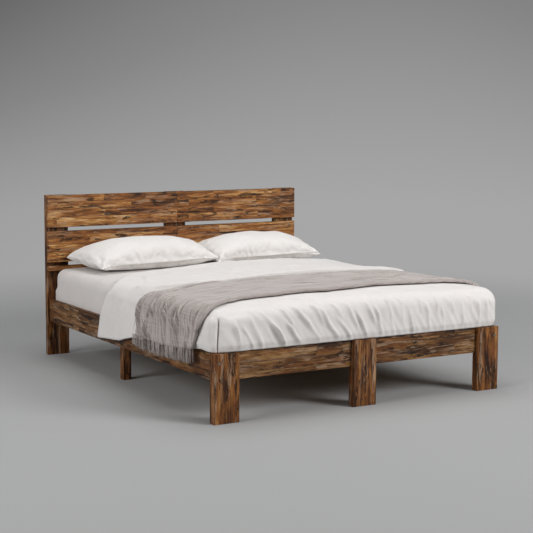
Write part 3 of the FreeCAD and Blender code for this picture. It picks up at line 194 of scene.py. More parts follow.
def reclaimed_wood(name, grain, seed, tones, glued):
    """Reclaimed hardwood, glued up from old staves or in one piece, and oiled.
    The eye sees long streaks of brown in many tones, grey worn patches, black nail stains and a low sheen."""
    material, tree, shader = new_material(name)
    moved = along_grain(tree, grain, seed)
    wander = add_node(tree, "TexNoise", {
        "Vector": stretched(tree, moved, (6, 20, 20)), "Scale": 1.0, "Detail": 3.0}).outputs[1]
    bent = add_node(tree, "VectorMath", {0: wander, 1: (0.5, 0.5, 0.5)}, operation="SUBTRACT").outputs[0]
    bent = add_node(tree, "VectorMath", {0: bent, 1: (0.05, 0.013, 0.013), 2: moved},
                    operation="MULTIPLY_ADD").outputs[0]
    # Staves 45 mm high and 480 mm long, seen as steps of tone.
    apart = add_node(tree, "SeparateXYZ", {0: bent})
    across = math_of(tree, "ADD", apart.outputs[1], apart.outputs[2])
    face = add_node(tree, "CombineXYZ", {0: apart.outputs[0], 1: across}).outputs[0]
    staves = add_node(tree, "TexBrick", {
        "Vector": face, "Color1": (0, 0, 0, 1), "Color2": (1, 1, 1, 1), "Mortar": (0.2, 0.2, 0.2, 1),
        "Scale": 1.0, "Mortar Size": 0.0007, "Mortar Smooth": 0.6, "Brick Width": 0.48, "Row Height": 0.045,
    }, offset=0.37, offset_frequency=2)
    # Each glued stave has its own figure, so the streaks break off at its edges.
    own = (13.0, 3.7, 1.9) if glued else (0, 0, 0)
    own = add_node(tree, "VectorMath", {0: staves.outputs[0], 1: own}, operation="MULTIPLY").outputs[0]
    bent = add_node(tree, "VectorMath", {0: bent, 1: own}, operation="ADD").outputs[0]
    # Streaks about 300 mm long and 30 mm high, with fibres a third of that size inside them.
    streaks = noise_of(tree, stretched(tree, bent, (3.2, 34, 34)), 7.0, 0.68, 0.3)
    streaks = stepped(tree, streaks, 0.34, 0.66)
    fibres = noise_of(tree, stretched(tree, bent, (9, 100, 100), (4.4, 1.3, 6.1)), 5.0, 0.7)
    fibres = stepped(tree, fibres, 0.34, 0.66)
    # Flakes of old surface, each in its own tone, 180 mm long and 20 mm high.
    flakes = add_node(tree, "TexVoronoi", {
        "Vector": stretched(tree, bent, (5.5, 52, 52)), "Scale": 1.0, "Randomness": 1.0})
    chance = add_node(tree, "SeparateColor", {0: flakes.outputs["Color"]})
    tone = times(tree, staves.outputs[0], 0.30 if glued else 0.12)
    for amount, share in ((chance.outputs[0], 0.10), (streaks, 0.33 if glued else 0.45), (fibres, 0.30)):
        tone = weighed(tree, amount, share, tone)
    colour = set_ramp(add_node(tree, "ValToRGB", {0: tone}), tones)
    # Some flakes are redder, and some have gone grey.
    red = times(tree, stepped(tree, chance.outputs[1], 0.60, 0.95), 0.30)
    colour = mixed(tree, red, colour, linear("#80481f"))
    grey = times(tree, stepped(tree, chance.outputs[2], 0.66, 0.96), 0.42)
    colour = mixed(tree, times(tree, grey, fibres), colour, linear("#a08a74"))
    # Grain lines 2.5 mm apart, drawn coarser than the real 1 mm so that they show.
    lines = noise_of(tree, stretched(tree, bent, (11, 400, 400)), 3.0, 0.6)
    colour = mixed(tree, 1.0, colour, spread(tree, lines, 0.66, 1.30, 0.3, 0.7), "MULTIPLY")
    # Sun-bleached patches 150 mm long.
    bleached = noise_of(tree, stretched(tree, bent, (6.5, 44, 44), (3.1, 7.7, 1.9)), 5.0, 0.62)
    bleached = times(tree, stepped(tree, bleached, 0.56, 0.64), 0.42)
    colour = mixed(tree, bleached, colour, linear("#b0957a"))
    # Black stains and filled knots 130 mm long, and pits 14 mm long.
    stains = noise_of(tree, stretched(tree, bent, (7.5, 38, 38), (8.3, 2.2, 5.6)), 6.0, 0.7, 0.4)
    stains = times(tree, stepped(tree, stains, 0.56, 0.60), 0.88)
    pits = noise_of(tree, stretched(tree, bent, (70, 210, 210), (1.7, 4.1, 9.2)), 3.0, 0.6)
    pits = times(tree, stepped(tree, pits, 0.66, 0.74), 0.7)
    marks = math_of(tree, "MAXIMUM", stains, pits)
    colour = mixed(tree, marks, colour, linear("#1e120b"))
    relief = math_of(tree, "SUBTRACT", times(tree, lines, 0.45), times(tree, marks, 0.9))
    relief = math_of(tree, "SUBTRACT", relief, times(tree, staves.outputs[1], 0.7))
    finish(tree, shader, colour, spread(tree, streaks, 0.62, 0.44), relief, 0.55, 0.0016,
           [("Specular IOR Level", 0.22)])
    return material


def plain_wood(name, grain, seed, early, late, ring):
    """Planed softwood or hardwood, left raw: pale with soft growth rings along the board and no sheen."""
    material, tree, shader = new_material(name)
    moved = along_grain(tree, grain, seed)
    rings = add_node(tree, "TexWave", {
        "Vector": stretched(tree, moved, (0.6, 1 / ring, 1 / ring)), "Scale": 0.35, "Distortion": 5.0,
        "Detail": 3.0, "Detail Scale": 0.8,
    }, bands_direction="Y").outputs[1]
    pores = noise_of(tree, stretched(tree, moved, (14, 600, 600)), 2.0)
    tone = weighed(tree, pores, 0.4, weighed(tree, rings, 0.7, 0.0))
    finish(tree, shader, mixed(tree, tone, early, late), spread(tree, rings, 0.55, 0.7), pores, 0.25, 0.0005)
    return material


def worked_metal(name, colour, dull, spangle, metallic, rough):
    """Plated or forged steel: a crystal spangle or hammer marks vary its colour and gloss."""
    material, tree, shader = new_material(name)
    place = add_node(tree, "TexCoord").outputs["Object"]
    marks = noise_of(tree, stretched(tree, place, (1 / spangle,) * 3), 3.0, 0.6)
    finish(tree, shader, mixed(tree, marks, dull, colour), spread(tree, marks, rough - 0.1, rough + 0.12),
           marks, 0.3, 0.0003, [("Metallic", metallic)])
    return material


def moulded_nylon(name, colour):
    """Nylon moulded with a fine spark texture: black, with a dull broken gloss."""
    material, tree, shader = new_material(name)
    place = add_node(tree, "TexCoord").outputs["Object"]
    grit = noise_of(tree, stretched(tree, place, (900, 900, 900)), 2.0)
    finish(tree, shader, mixed(tree, grit, colour, linear("#2b2b2c")), spread(tree, grit, 0.4, 0.6),
           grit, 0.3, 0.0002, [("IOR", 1.53)])
    return material


def woven_cloth(name, light, dark, thread, slub, relief, sheen, mottle):
    """Woven cloth on its own unfolded UV map, which is in metres.
    Two crossed sets of threads give the weave, longer slubs streak it, and a soft mottle breaks the plain colour."""
    material, tree, shader = new_material(name)
    place = add_node(tree, "TexCoord").outputs["UV"]
    threads = stretched(tree, place, (1 / thread, 1 / thread, 1))
    warp, weft = (
        add_node(tree, "TexWave", {"Vector": threads, "Scale": 0.314, "Distortion": 0.5, "Detail": 1.0},
                 bands_direction=axis).outputs[1] for axis in ("X", "Y"))
    weave = times(tree, warp, weft)
    long, high = 1 / slub[0], 1 / slub[1]
    streaks = noise_of(tree, stretched(tree, place, (long, high, 1)), 4.0, 0.6)
    cross = noise_of(tree, stretched(tree, place, (high, long, 1), (3, 5, 0)), 4.0, 0.6)
    cloud = noise_of(tree, stretched(tree, place, (9, 9, 1), (7, 2, 0)), 3.0)
    yarn = weighed(tree, streaks, 0.74, times(tree, cross, 0.26))
    amount = stepped(tree, yarn, 0.5 - mottle, 0.5 + mottle)
    amount = weighed(tree, weave, 0.35, times(tree, amount, 0.65))
    plain = mixed(tree, amount, dark, light)
    colour = mixed(tree, 1.0, plain, spread(tree, cloud, 0.965, 1.02, 0.3, 0.7), "MULTIPLY")
    finish(tree, shader, colour, spread(tree, weave, 0.92, 0.8), weighed(tree, yarn, 0.8, times(tree, weave, 0.6)),
           0.35, relief, [("IOR", 1.46), ("Sheen Weight", sheen), ("Sheen Roughness", 0.5)])
    return material


def studio_paper(name, colour):
    """Matt seamless paper: an even pale grey that takes a soft shadow. Far off, from 1.7 m round the bed and fully
    past 5.2 m, and where it curves up, the camera and glossy things see painted light instead: a glow, and no lamp,
    shaded as a pool of light, that covers the floor's shadow there."""
    material, tree, shader = new_material(name)
    place = add_node(tree, "TexCoord").outputs["Object"]
    tooth = noise_of(tree, stretched(tree, place, (60, 60, 60)), 2.0)
    tree.links.new(mixed(tree, tooth, colour, [c * 0.97 for c in colour[:3]] + [1]), shader.inputs["Base Color"])
    shader.inputs["Roughness"].default_value = 0.9
    shader.inputs["Specular IOR Level"].default_value = 0.2
    height = add_node(tree, "SeparateXYZ", {0: place}).outputs[2]
    far = add_node(tree, "VectorMath", {0: place}, operation="LENGTH").outputs[1]
    # Painted light: from 1.7 m out, and fully past 5.2 m, camera and glossy rays see a glow in place of the lit
    # paper and its shadow.
    rays = add_node(tree, "LightPath")
    seen = math_of(tree, "MAXIMUM", rays.outputs["Is Camera Ray"], rays.outputs["Is Glossy Ray"])
    seen = times(tree, seen, stepped(tree, far, 1.7, 5.2))
    # The glow is painted light: its pool lies low and a little right, and darkens upwards and to both sides.
    side = add_node(tree, "VectorMath", {0: place, 1: (0.86, -0.51, 0)}, operation="DOT_PRODUCT").outputs[1]
    side = math_of(tree, "ABSOLUTE", math_of(tree, "SUBTRACT", side, 2.0))
    side = math_of(tree, "POWER", side, 2.0)
    up = spread(tree, height, 0.0, 0.5, 0.0, 3.4)
    painted_falloff = times(tree, side, math_of(tree, "ADD", times(tree, up, 0.0167), 0.0042))
    tone = math_of(tree, "ADD", up, painted_falloff, clamp=True)
    # The painted glow's tones: light low down, darker higher up and to the sides.
    tone = set_ramp(add_node(tree, "ValToRGB", {0: tone}), [(0.0, "#a7a7a7"), (0.5, "#868686"), (1.0, "#686868")])
    painted_light = add_node(tree, "Emission", {"Color": tone, "Strength": 1.0})
    both = add_node(tree, "MixShader", {0: seen, 1: shader.outputs[0], 2: painted_light.outputs[0]})
    output = next(node for node in tree.nodes if node.type == "OUTPUT_MATERIAL")
    tree.links.new(both.outputs[0], output.inputs["Surface"])
    return material


def length_property(label, words, default, least, most):
    """A length property, in metres."""
    return bpy.props.FloatProperty(
        name=label, description=words, default=default, min=least, max=most, unit="LENGTH", subtype="DISTANCE")


class BedSizes(bpy.types.PropertyGroup):
    """The lengths of the bedding."""
    loft: length_property("Duvet thickness", "How thick the duvet lies", 0.017, 0.005, 0.04)
    crease: length_property("Crease height", "How high the duvet's creases stand", 0.015, 0.0, 0.03)
    throw_cloth: length_property("Throw cloth", "How thick the throw's cloth is", 0.0026, 0.001, 0.006)
    fringe: length_property("Fringe length", "How long the throw's strands hang", 0.060, 0.01, 0.15)
    strand: length_property("Strand thickness", "How thick a strand of the fringe is", 0.0020, 0.0005, 0.006)
    swell: length_property("Pillow swell", "How far the filling may push the pillowcase", 0.022, 0.0, 0.04)


def colour_property(label, text, words):
    """A colour property that starts from an sRGB hex colour."""
    return bpy.props.FloatVectorProperty(
        name=label, description=words, default=linear(text), size=4, min=0.0, max=1.0, subtype="COLOR")


class BedColours(bpy.types.PropertyGroup):
    """The colours of the bedding and the studio."""
    sheet: colour_property("Fitted sheet", "#dfdad7", "The mattress's cotton sheet")
    pillowcase: colour_property("Pillowcases", "#ebe8e5", "The pillows' cotton")
    duvet: colour_property("Duvet cover", "#eae6e3", "The duvet's cotton cover")
    throw_light: colour_property("Throw, light yarn", "#d6cecb", "The paler yarn of the throw")
    throw_dark: colour_property("Throw, dark yarn", "#7b6e66", "The darker yarn of the throw")
    floor: colour_property("Floor", "#a8a8a8", "The studio's paper")


def smoothed(mesh):
    """Shades a mesh smooth."""
    mesh.polygons.foreach_set("use_smooth", [True] * len(mesh.polygons))


def stored(name, bm, body, material):
    """Makes the mesh an object that rides on a body."""
    mesh = bpy.data.meshes.new(name)
    bm.to_mesh(mesh)
    bm.free()
    mesh.materials.append(material)
    smoothed(mesh)
    piece = bpy.data.objects.new(name, mesh)
    bpy.context.scene.collection.objects.link(piece)
    if body:
        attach(piece, body)
    return piece


def finished(node, material):
    """Gives a CAD piece its material."""
    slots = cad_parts[node].data.materials
    slots.clear()
    slots.append(material)


def shown(piece):
    """A piece as its modifiers leave it."""
    return piece.evaluated_get(bpy.context.evaluated_depsgraph_get())


def thickened(piece, name, thickness, offset):
    """Gives a piece's cloth its thickness."""
    solid = piece.modifiers.new(name, "SOLIDIFY")
    solid.thickness, solid.offset = thickness, offset
    return solid


def points_of(mesh, what="co"):
    """A mesh's vertices, or their normals, as rows of x, y, z."""
    rows = np.empty(len(mesh.vertices) * 3)
    mesh.vertices.foreach_get(what, rows)
    return rows.reshape(-1, 3)


def place_points(mesh, rows):
    """Moves a mesh's vertices to the rows."""
    mesh.vertices.foreach_set("co", np.ascontiguousarray(rows, dtype=np.float64).ravel())
    mesh.update()


def lay_uv(mesh, across, along):
    """Gives each vertex its unfolded place, in metres, as the UV map."""
    layer = mesh.uv_layers.new(name="Unfolded")
    corners = np.empty(len(mesh.loops), dtype=np.int32)
    mesh.loops.foreach_get("vertex_index", corners)
    layer.data.foreach_set("uv", np.stack([across[corners], along[corners]], axis=1).ravel())


def eased(value):
    """A smooth step from 0 to 1."""
    value = np.clip(value, 0.0, 1.0)
    return value * value * (3 - 2 * value)


def ridge(value, middle, half):
    """A ridge of height 1 along a middle."""
    return np.exp(-((value - middle) / half) ** 2)


def hump(value, start, rise, end, fall):
    """Rises from 0 to 1 after the start, and falls back to 0 after the end."""
    return eased((value - start) / rise) * (1 - eased((value - end) / fall))


def rippled(across, along, seed, length, count=7):
    """A calm random field of about -1 to 1, whose waves are about one length apart."""
    pick = random.Random(seed)
    total = np.zeros_like(across)
    for _ in range(count):
        turn = pick.uniform(0, math.pi)
        pitch = math.tau / (length * pick.uniform(0.7, 1.6))
        total += np.sin((across * math.cos(turn) + along * math.sin(turn)) * pitch + pick.uniform(0, math.tau))
    return total / count * 1.6


def creased(across, along, lines):
    """The height of creases: each has its two ends, its half width and its height. One side is the steeper."""
    total = np.zeros_like(across)
    sway = rippled(across, along, 5, 0.16) * 0.006
    for start_x, start_y, end_x, end_y, half, height in lines:
        run_x, run_y = end_x - start_x, end_y - start_y
        long = math.hypot(run_x, run_y)
        share = ((across - start_x) * run_x + (along - start_y) * run_y) / long ** 2
        off = ((across - start_x) * run_y - (along - start_y) * run_x) / long + sway
        off = np.where(off > 0, off, off * 2.4)
        ends = eased(share * 3.2) * eased((1 - share) * 3.2)
        total += height * ridge(off, 0, half) * ends
    return total * (0.95 + 0.55 * rippled(across, along, 6, 0.23))


def rounded(rows, low, high, radius):
    """Takes places on a square box to one with round edges, and gives the way out of it there."""
    core = np.clip(rows, low, high)
    out = rows - core
    out /= np.maximum(np.linalg.norm(out, axis=1), 1e-9)[:, None]
    return core + out * radius, out


def duvet_form(rows):
    """Takes places on the duvet's square box to its plump form, and gives the way out of the cloth there.
    The form has round shoulders, and the filling makes it higher along the bed's middle line."""
    # The box is open downwards and towards the head, so its limits there are far off.
    low = np.array([-SIDE + SHOULDER, DUVET_FOOT + SHOULDER, -9.0])
    high = np.array([SIDE - SHOULDER, 9.0, DUVET_TOP - SHOULDER])
    shaped, out = rounded(rows, low, high, SHOULDER)
    x, y, z = shaped.T
    middle = 1 - np.minimum(np.abs(x) / SIDE, 1) ** 2.2
    middle *= 0.55 + 0.45 * eased((y - FOOT) / 0.35)
    # The right foot corner slopes down further.
    fall = SIDE_FALL + 0.024 * eased((x - SIDE + 0.26) / 0.26) * eased((FOOT + 0.10 - y) / 0.2)
    z += (CROWN * middle - fall) * eased((z - DUVET_TOP + 0.14) / 0.12)
    return shaped, out


def unfolded(rows):
    """The duvet's place in the flat: across from the middle line, and along from the foot legs' front."""
    x, y, z = rows.T
    drop = DUVET_TOP - z
    on_side = np.abs(x) > SIDE - 1e-6
    on_foot = y < DUVET_FOOT + 1e-6
    across = x + np.where(on_side, np.sign(x) * drop, 0.0)
    along = y - FOOT - np.where(on_foot & ~on_side, drop, 0.0)
    return across, along


def metres(rows):
    """Rows of thousandths, as whole ones."""
    return [tuple(number / 1000 for number in row) for row in rows]


# The throw's edges, in mm: place across the unfolded bed, distance from the foot legs' front.
THROW_NEAR = metres([
    (-1120, 190), (-1050, 163), (-970, 117), (-900, 80), (-850, 70), (-800, 82), (-735, 132), (-676, 160),
    (-580, 178), (-430, 176), (-250, 166), (-100, 162), (60, 176), (350, 204), (520, 218), (660, 235), (760, 222),
    (850, 190), (950, 185), (1120, 210),
])
THROW_FAR = metres([
    (-1120, 690), (-1070, 672), (-1000, 652), (-930, 615), (-860, 585), (-787, 588), (-728, 606), (-642, 636),
    (-535, 668), (-433, 695), (-330, 712), (-150, 722), (0, 700), (130, 712), (290, 735), (440, 772), (600, 790),
    (750, 782), (860, 760), (1120, 785),
])
THROW_UNDER = metres([
    (-1120, 862), (-1080, 850), (-1020, 830), (-940, 788), (-870, 762), (-800, 748), (-728, 722), (-642, 700),
    (-535, 694), (-433, 708), (-330, 720), (-150, 728), (0, 707), (130, 718), (290, 741), (440, 778), (600, 796),
    (750, 788), (860, 766), (1120, 791),
])
# The duvet's head edge, drawn back at the left corner, and the height of its side hems, in mm.
DUVET_REACH = metres([
    (-1200, 1300), (-1150, 1285), (-1040, 1250), (-950, 1200), (-890, 1155), (-840, 1150), (-800, 1180),
    (-740, 1270), (-682, 1340), (-600, 1395), (-500, 1432), (-350, 1462), (-200, 1490), (-17, 1530), (200, 1570),
    (500, 1595), (1200, 1604),
])
DUVET_HEM = metres([
    (0, 333), (120, 338), (300, 318), (550, 298), (868, 284), (985, 268), (1150, 246), (1610, 222),
])
# Creases of the foot face and its shoulder, of the duvet's top and of the throw: ends across and along and half
# width, in mm, and height in thousandths of a full crease.
FOOT_CREASES = metres([
    (-742, -30, -690, -225, 11, 1000), (-700, -70, -610, -215, 9, 1100), (-655, -20, -560, -225, 13, 950),
    (-600, 5, -470, -170, 10, 750), (-560, -40, -430, -225, 12, 1300), (-490, 10, -400, -120, 9, 800),
    (-470, -60, -345, -225, 11, 1150), (-425, 20, -290, -160, 12, 1000), (-360, -50, -240, -220, 10, 1250),
    (-330, 15, -225, -125, 9, 700), (-275, -15, -130, -215, 14, 1150), (-215, 15, -120, -110, 9, 650),
    (-180, -60, -60, -222, 10, 1000), (-130, 5, -30, -165, 11, 850), (-60, -45, 30, -222, 10, 1100),
    (-10, 15, 65, -140, 9, 600), (55, -30, 112, -215, 12, 950), (120, 15, 160, -115, 8, 500),
    (150, -60, 185, -220, 9, 850), (205, 10, 235, -150, 10, 600), (262, -70, 300, -218, 8, 700),
    (318, 20, 342, -110, 8, 450), (365, -30, 400, -215, 10, 650), (430, 15, 446, -120, 8, 450),
    (470, -60, 496, -212, 9, 600), (535, 20, 548, -130, 9, 450), (590, -40, 610, -205, 9, 600),
    (650, 15, 660, -120, 8, 450), (700, -30, 716, -205, 10, 600), (752, 0, 760, -165, 9, 550),
])
TOP_CREASES = metres([
    (-620, 1020, 400, 1160, 30, 550), (-300, 1200, 780, 1120, 35, 450), (-550, 1330, 100, 1450, 28, 350),
    (100, 1330, 800, 1380, 30, 400), (-100, 1500, 550, 1470, 24, 300), (-700, 980, -600, 1250, 26, 300),
    (-500, 150, 300, 200, 30, 300), (100, 110, 700, 120, 22, 350), (-600, 100, -200, 60, 20, 350),
    (450, 1020, 820, 990, 26, 450), (-800, 950, -1050, 1020, 22, 450), (-820, 1060, -1080, 1160, 20, 400),
    (-840, 20, -1020, 50, 18, 400), (840, 100, 1040, 140, 20, 450), (840, 450, 1060, 400, 22, 400),
    (840, 950, 1080, 1020, 24, 500), (840, 1250, 1100, 1200, 24, 500), (840, 1450, 1100, 1500, 22, 450),
])
THROW_CREASES = metres([
    (-580, 330, 120, 392, 14, 1000), (-50, 350, 620, 330, 12, 1000), (-400, 450, 380, 560, 17, 1000),
    (100, 440, 720, 400, 13, 1300), (-620, 480, -80, 640, 15, 900), (20, 640, 660, 610, 18, 1100),
    (-500, 620, 60, 690, 15, 700), (250, 700, 780, 650, 15, 1000), (350, 520, 800, 470, 11, 1100),
    (-740, 330, -460, 400, 12, 800), (400, 320, 760, 255, 11, 1100), (550, 360, 840, 300, 10, 1200),
])
# Pleats of the throw's hanging ends, as drawn creases from the shoulder to the hem.
THROW_PLEATS = [
    (side * (0.77 + 0.02 * side + 0.04 * math.sin(3.1 * number)),
     0.10 + 0.046 * number + 0.008 * math.sin(5.3 * number),
     side * 1.16, 0.125 + 0.050 * number + 0.012 * math.sin(2.3 * number + side),
     0.011 + 0.004 * math.sin(1.7 * number), 1.0 + 0.45 * math.sin(4.1 * number + side))
    for side in (-1, 1) for number in range(15)]
# The pillows' left and right ends across the bed, their tops, how far the near left corner goes to the right and
# forwards, and how far the right end is lifted.
PILLOWS = {
    "pillow_left": (-0.742, 0.068, 0.701, 0.052, 0.034, 0.014),
    "pillow_right": (0.046, 0.783, 0.694, 0.030, 0.0, -0.002),
}


def table_at(table, value):
    """A table's figure at each value."""
    return np.interp(value, *zip(*table))


def roll_height(across):
    """How high the duvet rolls up beyond the throw's far edge: less where it hangs."""
    return 0.026 * (1 - 0.88 * eased((np.abs(across) - SIDE + 0.12) / 0.15)) * (1 + 0.18 * np.sin(across * 7 + 1))


def duvet_lean(across, along):
    """How far the roll beyond the throw leans towards the foot, over the throw's edge."""
    beyond = along - table_at(THROW_UNDER, across)
    return 0.55 * roll_height(across) * hump(beyond, 0.001, 0.014, 0.020, 0.07)


def duvet_relief(across, along, crease):
    """How far the duvet's cloth stands out of its rounded box, at places in the flat."""
    near, far = table_at(THROW_NEAR, across), table_at(THROW_UNDER, across)
    covered = eased((along - near) / 0.03 + 0.3) * eased((far - along) / 0.03 + 0.3)
    total = creased(across, along, FOOT_CREASES) * crease
    total += creased(across, along, TOP_CREASES) * crease * (1 - 0.6 * covered)
    total += rippled(across, along, 11, 0.38) * 0.0025 + rippled(across, along, 12, 0.11) * 0.0011
    # The throw weighs the filling down, so the duvet swells beyond its far edge and before its near one.
    beyond = along - far
    total += roll_height(across) * hump(beyond, 0, 0.016, 0.016, 0.20)
    total += 0.010 * ridge(beyond, 0.15 + 0.03 * np.sin(across * 4), 0.028) * (np.abs(across) < 0.8)
    total += 0.006 * ridge(along, near - 0.045, 0.035) * (1 - covered) * eased((0.80 - np.abs(across)) / 0.2)
    # Fine puckers between the foot's creases.
    on_foot = np.abs(across) < SIDE + 1e-6
    puckers = rippled(across * 1.9 + along * 1.1, along * 0.35, 14, 0.075)
    total += puckers * 0.0026 * eased((0.03 - along) / 0.06) * on_foot
    hanging = eased((np.abs(across) - SIDE) / 0.12)
    pleats = np.sin(along * 31 + 1.5 * np.sin(along * 9) + across * 4) * 0.005
    total += hanging * (1 - covered) * pleats * eased(along / 0.25)
    # The left corner's pleat: the foot's cloth is lapped over the side's, with a sharp fold at its edge.
    corner = (SIDE - 0.032) + across + 0.004 * np.sin(along * 26)
    low = eased((-along - 0.012) / 0.035) * on_foot
    total += low * (corner > 0) * (0.016 * eased(corner / 0.085) - 0.006) * eased((0.20 - corner) / 0.1)
    total -= low * 0.021 * ridge(corner, -0.0035, 0.0055)
    return total


def panel(bm, corner, across, along, cells):
    """Adds a grid that runs from a corner across and along."""
    corner, across, along = Vector(corner), Vector(across), Vector(along)
    made = bmesh.ops.create_grid(bm, x_segments=cells[0], y_segments=cells[1], size=1.0)
    for vert in made["verts"]:
        vert.co = corner + across * (vert.co.x + 1) / 2 + along * (vert.co.y + 1) / 2


# The lamps' places, sizes and power in watts.
LAMPS = {
    "key lamp": ((3.8, -6.8, 4.3), 3.6, 480),
    "fill lamp": ((-6.6, -1.2, 3.0), 3.6, 225),
    "overhead lamp": ((0.2, 0.3, 5.6), 5.0, 130),
}
# The photograph's camera, as fitted to the frame's corners: place, turns in degrees and lens in millimetres.
CAMERA_PLACE = (-3.7548, -6.4151, 1.4585)
CAMERA_TURNS = (30.69, 6.73, 0.27)
CAMERA_LENS = 91.68


class BED_OT_studio(bpy.types.Operator):
    """Makes the paper sweep, the lamps and the camera"""
    bl_idname = "bed.studio"
    bl_label = "Studio"

    def execute(self, context):
        scene = context.scene
        bm = bmesh.new()
        # A flat floor that curves up far from the bed, spun round it.
        flat, bend, wall, steps = 12.0, 5.0, 9.0, 12
        path = [bm.verts.new((0, 0, 0)), bm.verts.new((flat, 0, 0))]
        for step in range(1, steps + 1):
            turn = math.radians(90 * step / steps)
            path.append(bm.verts.new((flat + bend * math.sin(turn), 0, bend * (1 - math.cos(turn)))))
        path.append(bm.verts.new((flat + bend, 0, wall)))
        edges = [bm.edges.new(pair) for pair in zip(path, path[1:])]
        bmesh.ops.spin(bm, geom=path + edges, cent=(0, 0, 0), axis=(0, 0, 1), angle=math.tau, steps=96,
                       use_merge=True)
        bmesh.ops.remove_doubles(bm, verts=bm.verts, dist=HAIR)
        bmesh.ops.recalc_face_normals(bm, faces=bm.faces)
        floor = stored("studio_paper", bm, None, studio_paper("seamless paper with painted glow", scene.bed_colours.floor))
        if floor.data.polygons[0].normal.z < 0:
            floor.data.flip_normals()

        middle = Vector((0, 0, 0.35))
        for name, (place, size, power) in LAMPS.items():
            data = bpy.data.lights.new(name, "AREA")
            data.shape = "DISK"
            data.size = size
            data.energy = power
            lamp = bpy.data.objects.new(name, data)
            lamp.location = place
            lamp.rotation_euler = (middle - Vector(place)).to_track_quat("-Z", "Y").to_euler()
            scene.collection.objects.link(lamp)

        world = bpy.data.worlds.new("studio air")
        world.use_nodes = True
        back = world.node_tree.nodes["Background"]
        back.inputs[0].default_value = linear("#c8cacc")
        back.inputs[1].default_value = 0.35
        scene.world = world
        scene.view_settings.view_transform = "Standard"

        data = bpy.data.cameras.new("camera")
        data.sensor_width = 36.0
        data.lens = CAMERA_LENS
        data.clip_end = 100.0
        camera = bpy.data.objects.new("camera", data)
        yaw, pitch, roll = (math.radians(turn) for turn in CAMERA_TURNS)
        ahead = Vector((math.sin(yaw) * math.cos(pitch), math.cos(yaw) * math.cos(pitch), -math.sin(pitch)))
        right = Vector((math.cos(yaw), -math.sin(yaw), 0))
        up = right.cross(ahead)
        right, up = (right * math.cos(roll) + up * math.sin(roll), up * math.cos(roll) - right * math.sin(roll))
        turned = Matrix((right, up, -ahead)).transposed().to_4x4()
        camera.matrix_world = Matrix.Translation(CAMERA_PLACE) @ turned
        scene.collection.objects.link(camera)
        scene.camera = camera
        return {"FINISHED"}


# The worn wood's tones, from dark to light: rails, uprights, headboard.
RAIL_TONES = [(0.14, "#1b0f07"), (0.30, "#352010"), (0.44, "#4f3119"), (0.56, "#644121"), (0.70, "#7d5830"),
              (0.86, "#9c7950")]
UPRIGHT_TONES = [(0.14, "#1f0f06"), (0.32, "#3d2210"), (0.46, "#5e381a"), (0.60, "#774922"), (0.74, "#8f602f"),
                 (0.88, "#ab7e48")]
HEADBOARD_TONES = [(0.12, "#271409"), (0.28, "#4b2b14"), (0.42, "#70441f"), (0.55, "#8c5829"), (0.68, "#a6743d"),
                   (0.84, "#c9a06c")]
WORN_SEED = 41
SLAT_SEED = 7


class BED_OT_wood(bpy.types.Operator):
    """Gives each board of the frame its wood"""
    bl_idname = "bed.wood"
    bl_label = "Wood"

    def execute(self, context):
        for seed, (node, grain) in enumerate(WORN_BOARDS.items(), WORN_SEED):
            upright = "leg" in node or "post" in node
            tones = HEADBOARD_TONES if "headboard" in node else UPRIGHT_TONES if upright else RAIL_TONES
            finished(node, reclaimed_wood("reclaimed hardwood " + node, grain, seed, tones, not upright))
        pine = [(node, grain, seed) for seed, (node, grain) in enumerate(PINE_BOARDS.items())]
        pine += [(node, "x", seed) for seed, node in enumerate(SLATS, SLAT_SEED)]
        early, late = linear("#d9b98c"), linear("#b98a55")
        for node, grain, seed in pine:
            finished(node, plain_wood("planed pine " + node, grain, seed, early, late, 0.009))
        finished("rail_dowels", plain_wood("beech dowel", "y", 90, linear("#d8b48a"), linear("#c0946a"), 0.003))
        return {"FINISHED"}


class BED_OT_hardware(bpy.types.Operator):
    """Gives the bolts, hangers, nails and feet their metal and nylon"""
    bl_idname = "bed.hardware"
    bl_label = "Hardware"

    def execute(self, context):
        zinc = worked_metal("zinc plated steel", linear("#9a968d"), linear("#55514a"), 0.004, 1.0, 0.38)
        iron = worked_metal("blued cut-nail iron", linear("#6d6660"), linear("#3a3430"), 0.002, 0.9, 0.5)
        nylon = moulded_nylon("black moulded nylon", linear("#141415"))
        finishes = {
            zinc: ("foot_bolts", "head_bolts", "bed_bolt_nuts", "center_leg_pins", "beam_hanger_foot",
                   "beam_hanger_head"),
            iron: ("headboard_nails", "cleat_nails", "slat_nails", "leg_nails", "hanger_nails"),
            nylon: ("leveling_feet",),
        }
        for material, nodes in finishes.items():
            for node in nodes:
                finished(node, material)
        return {"FINISHED"}


# A close cotton weave: thread 1.6 mm, drawn coarser than the real 0.3 mm so that it shows.
COTTON = {"thread": 0.0016, "slub": (0.03, 0.002), "relief": 0.0004, "mottle": 0.2}


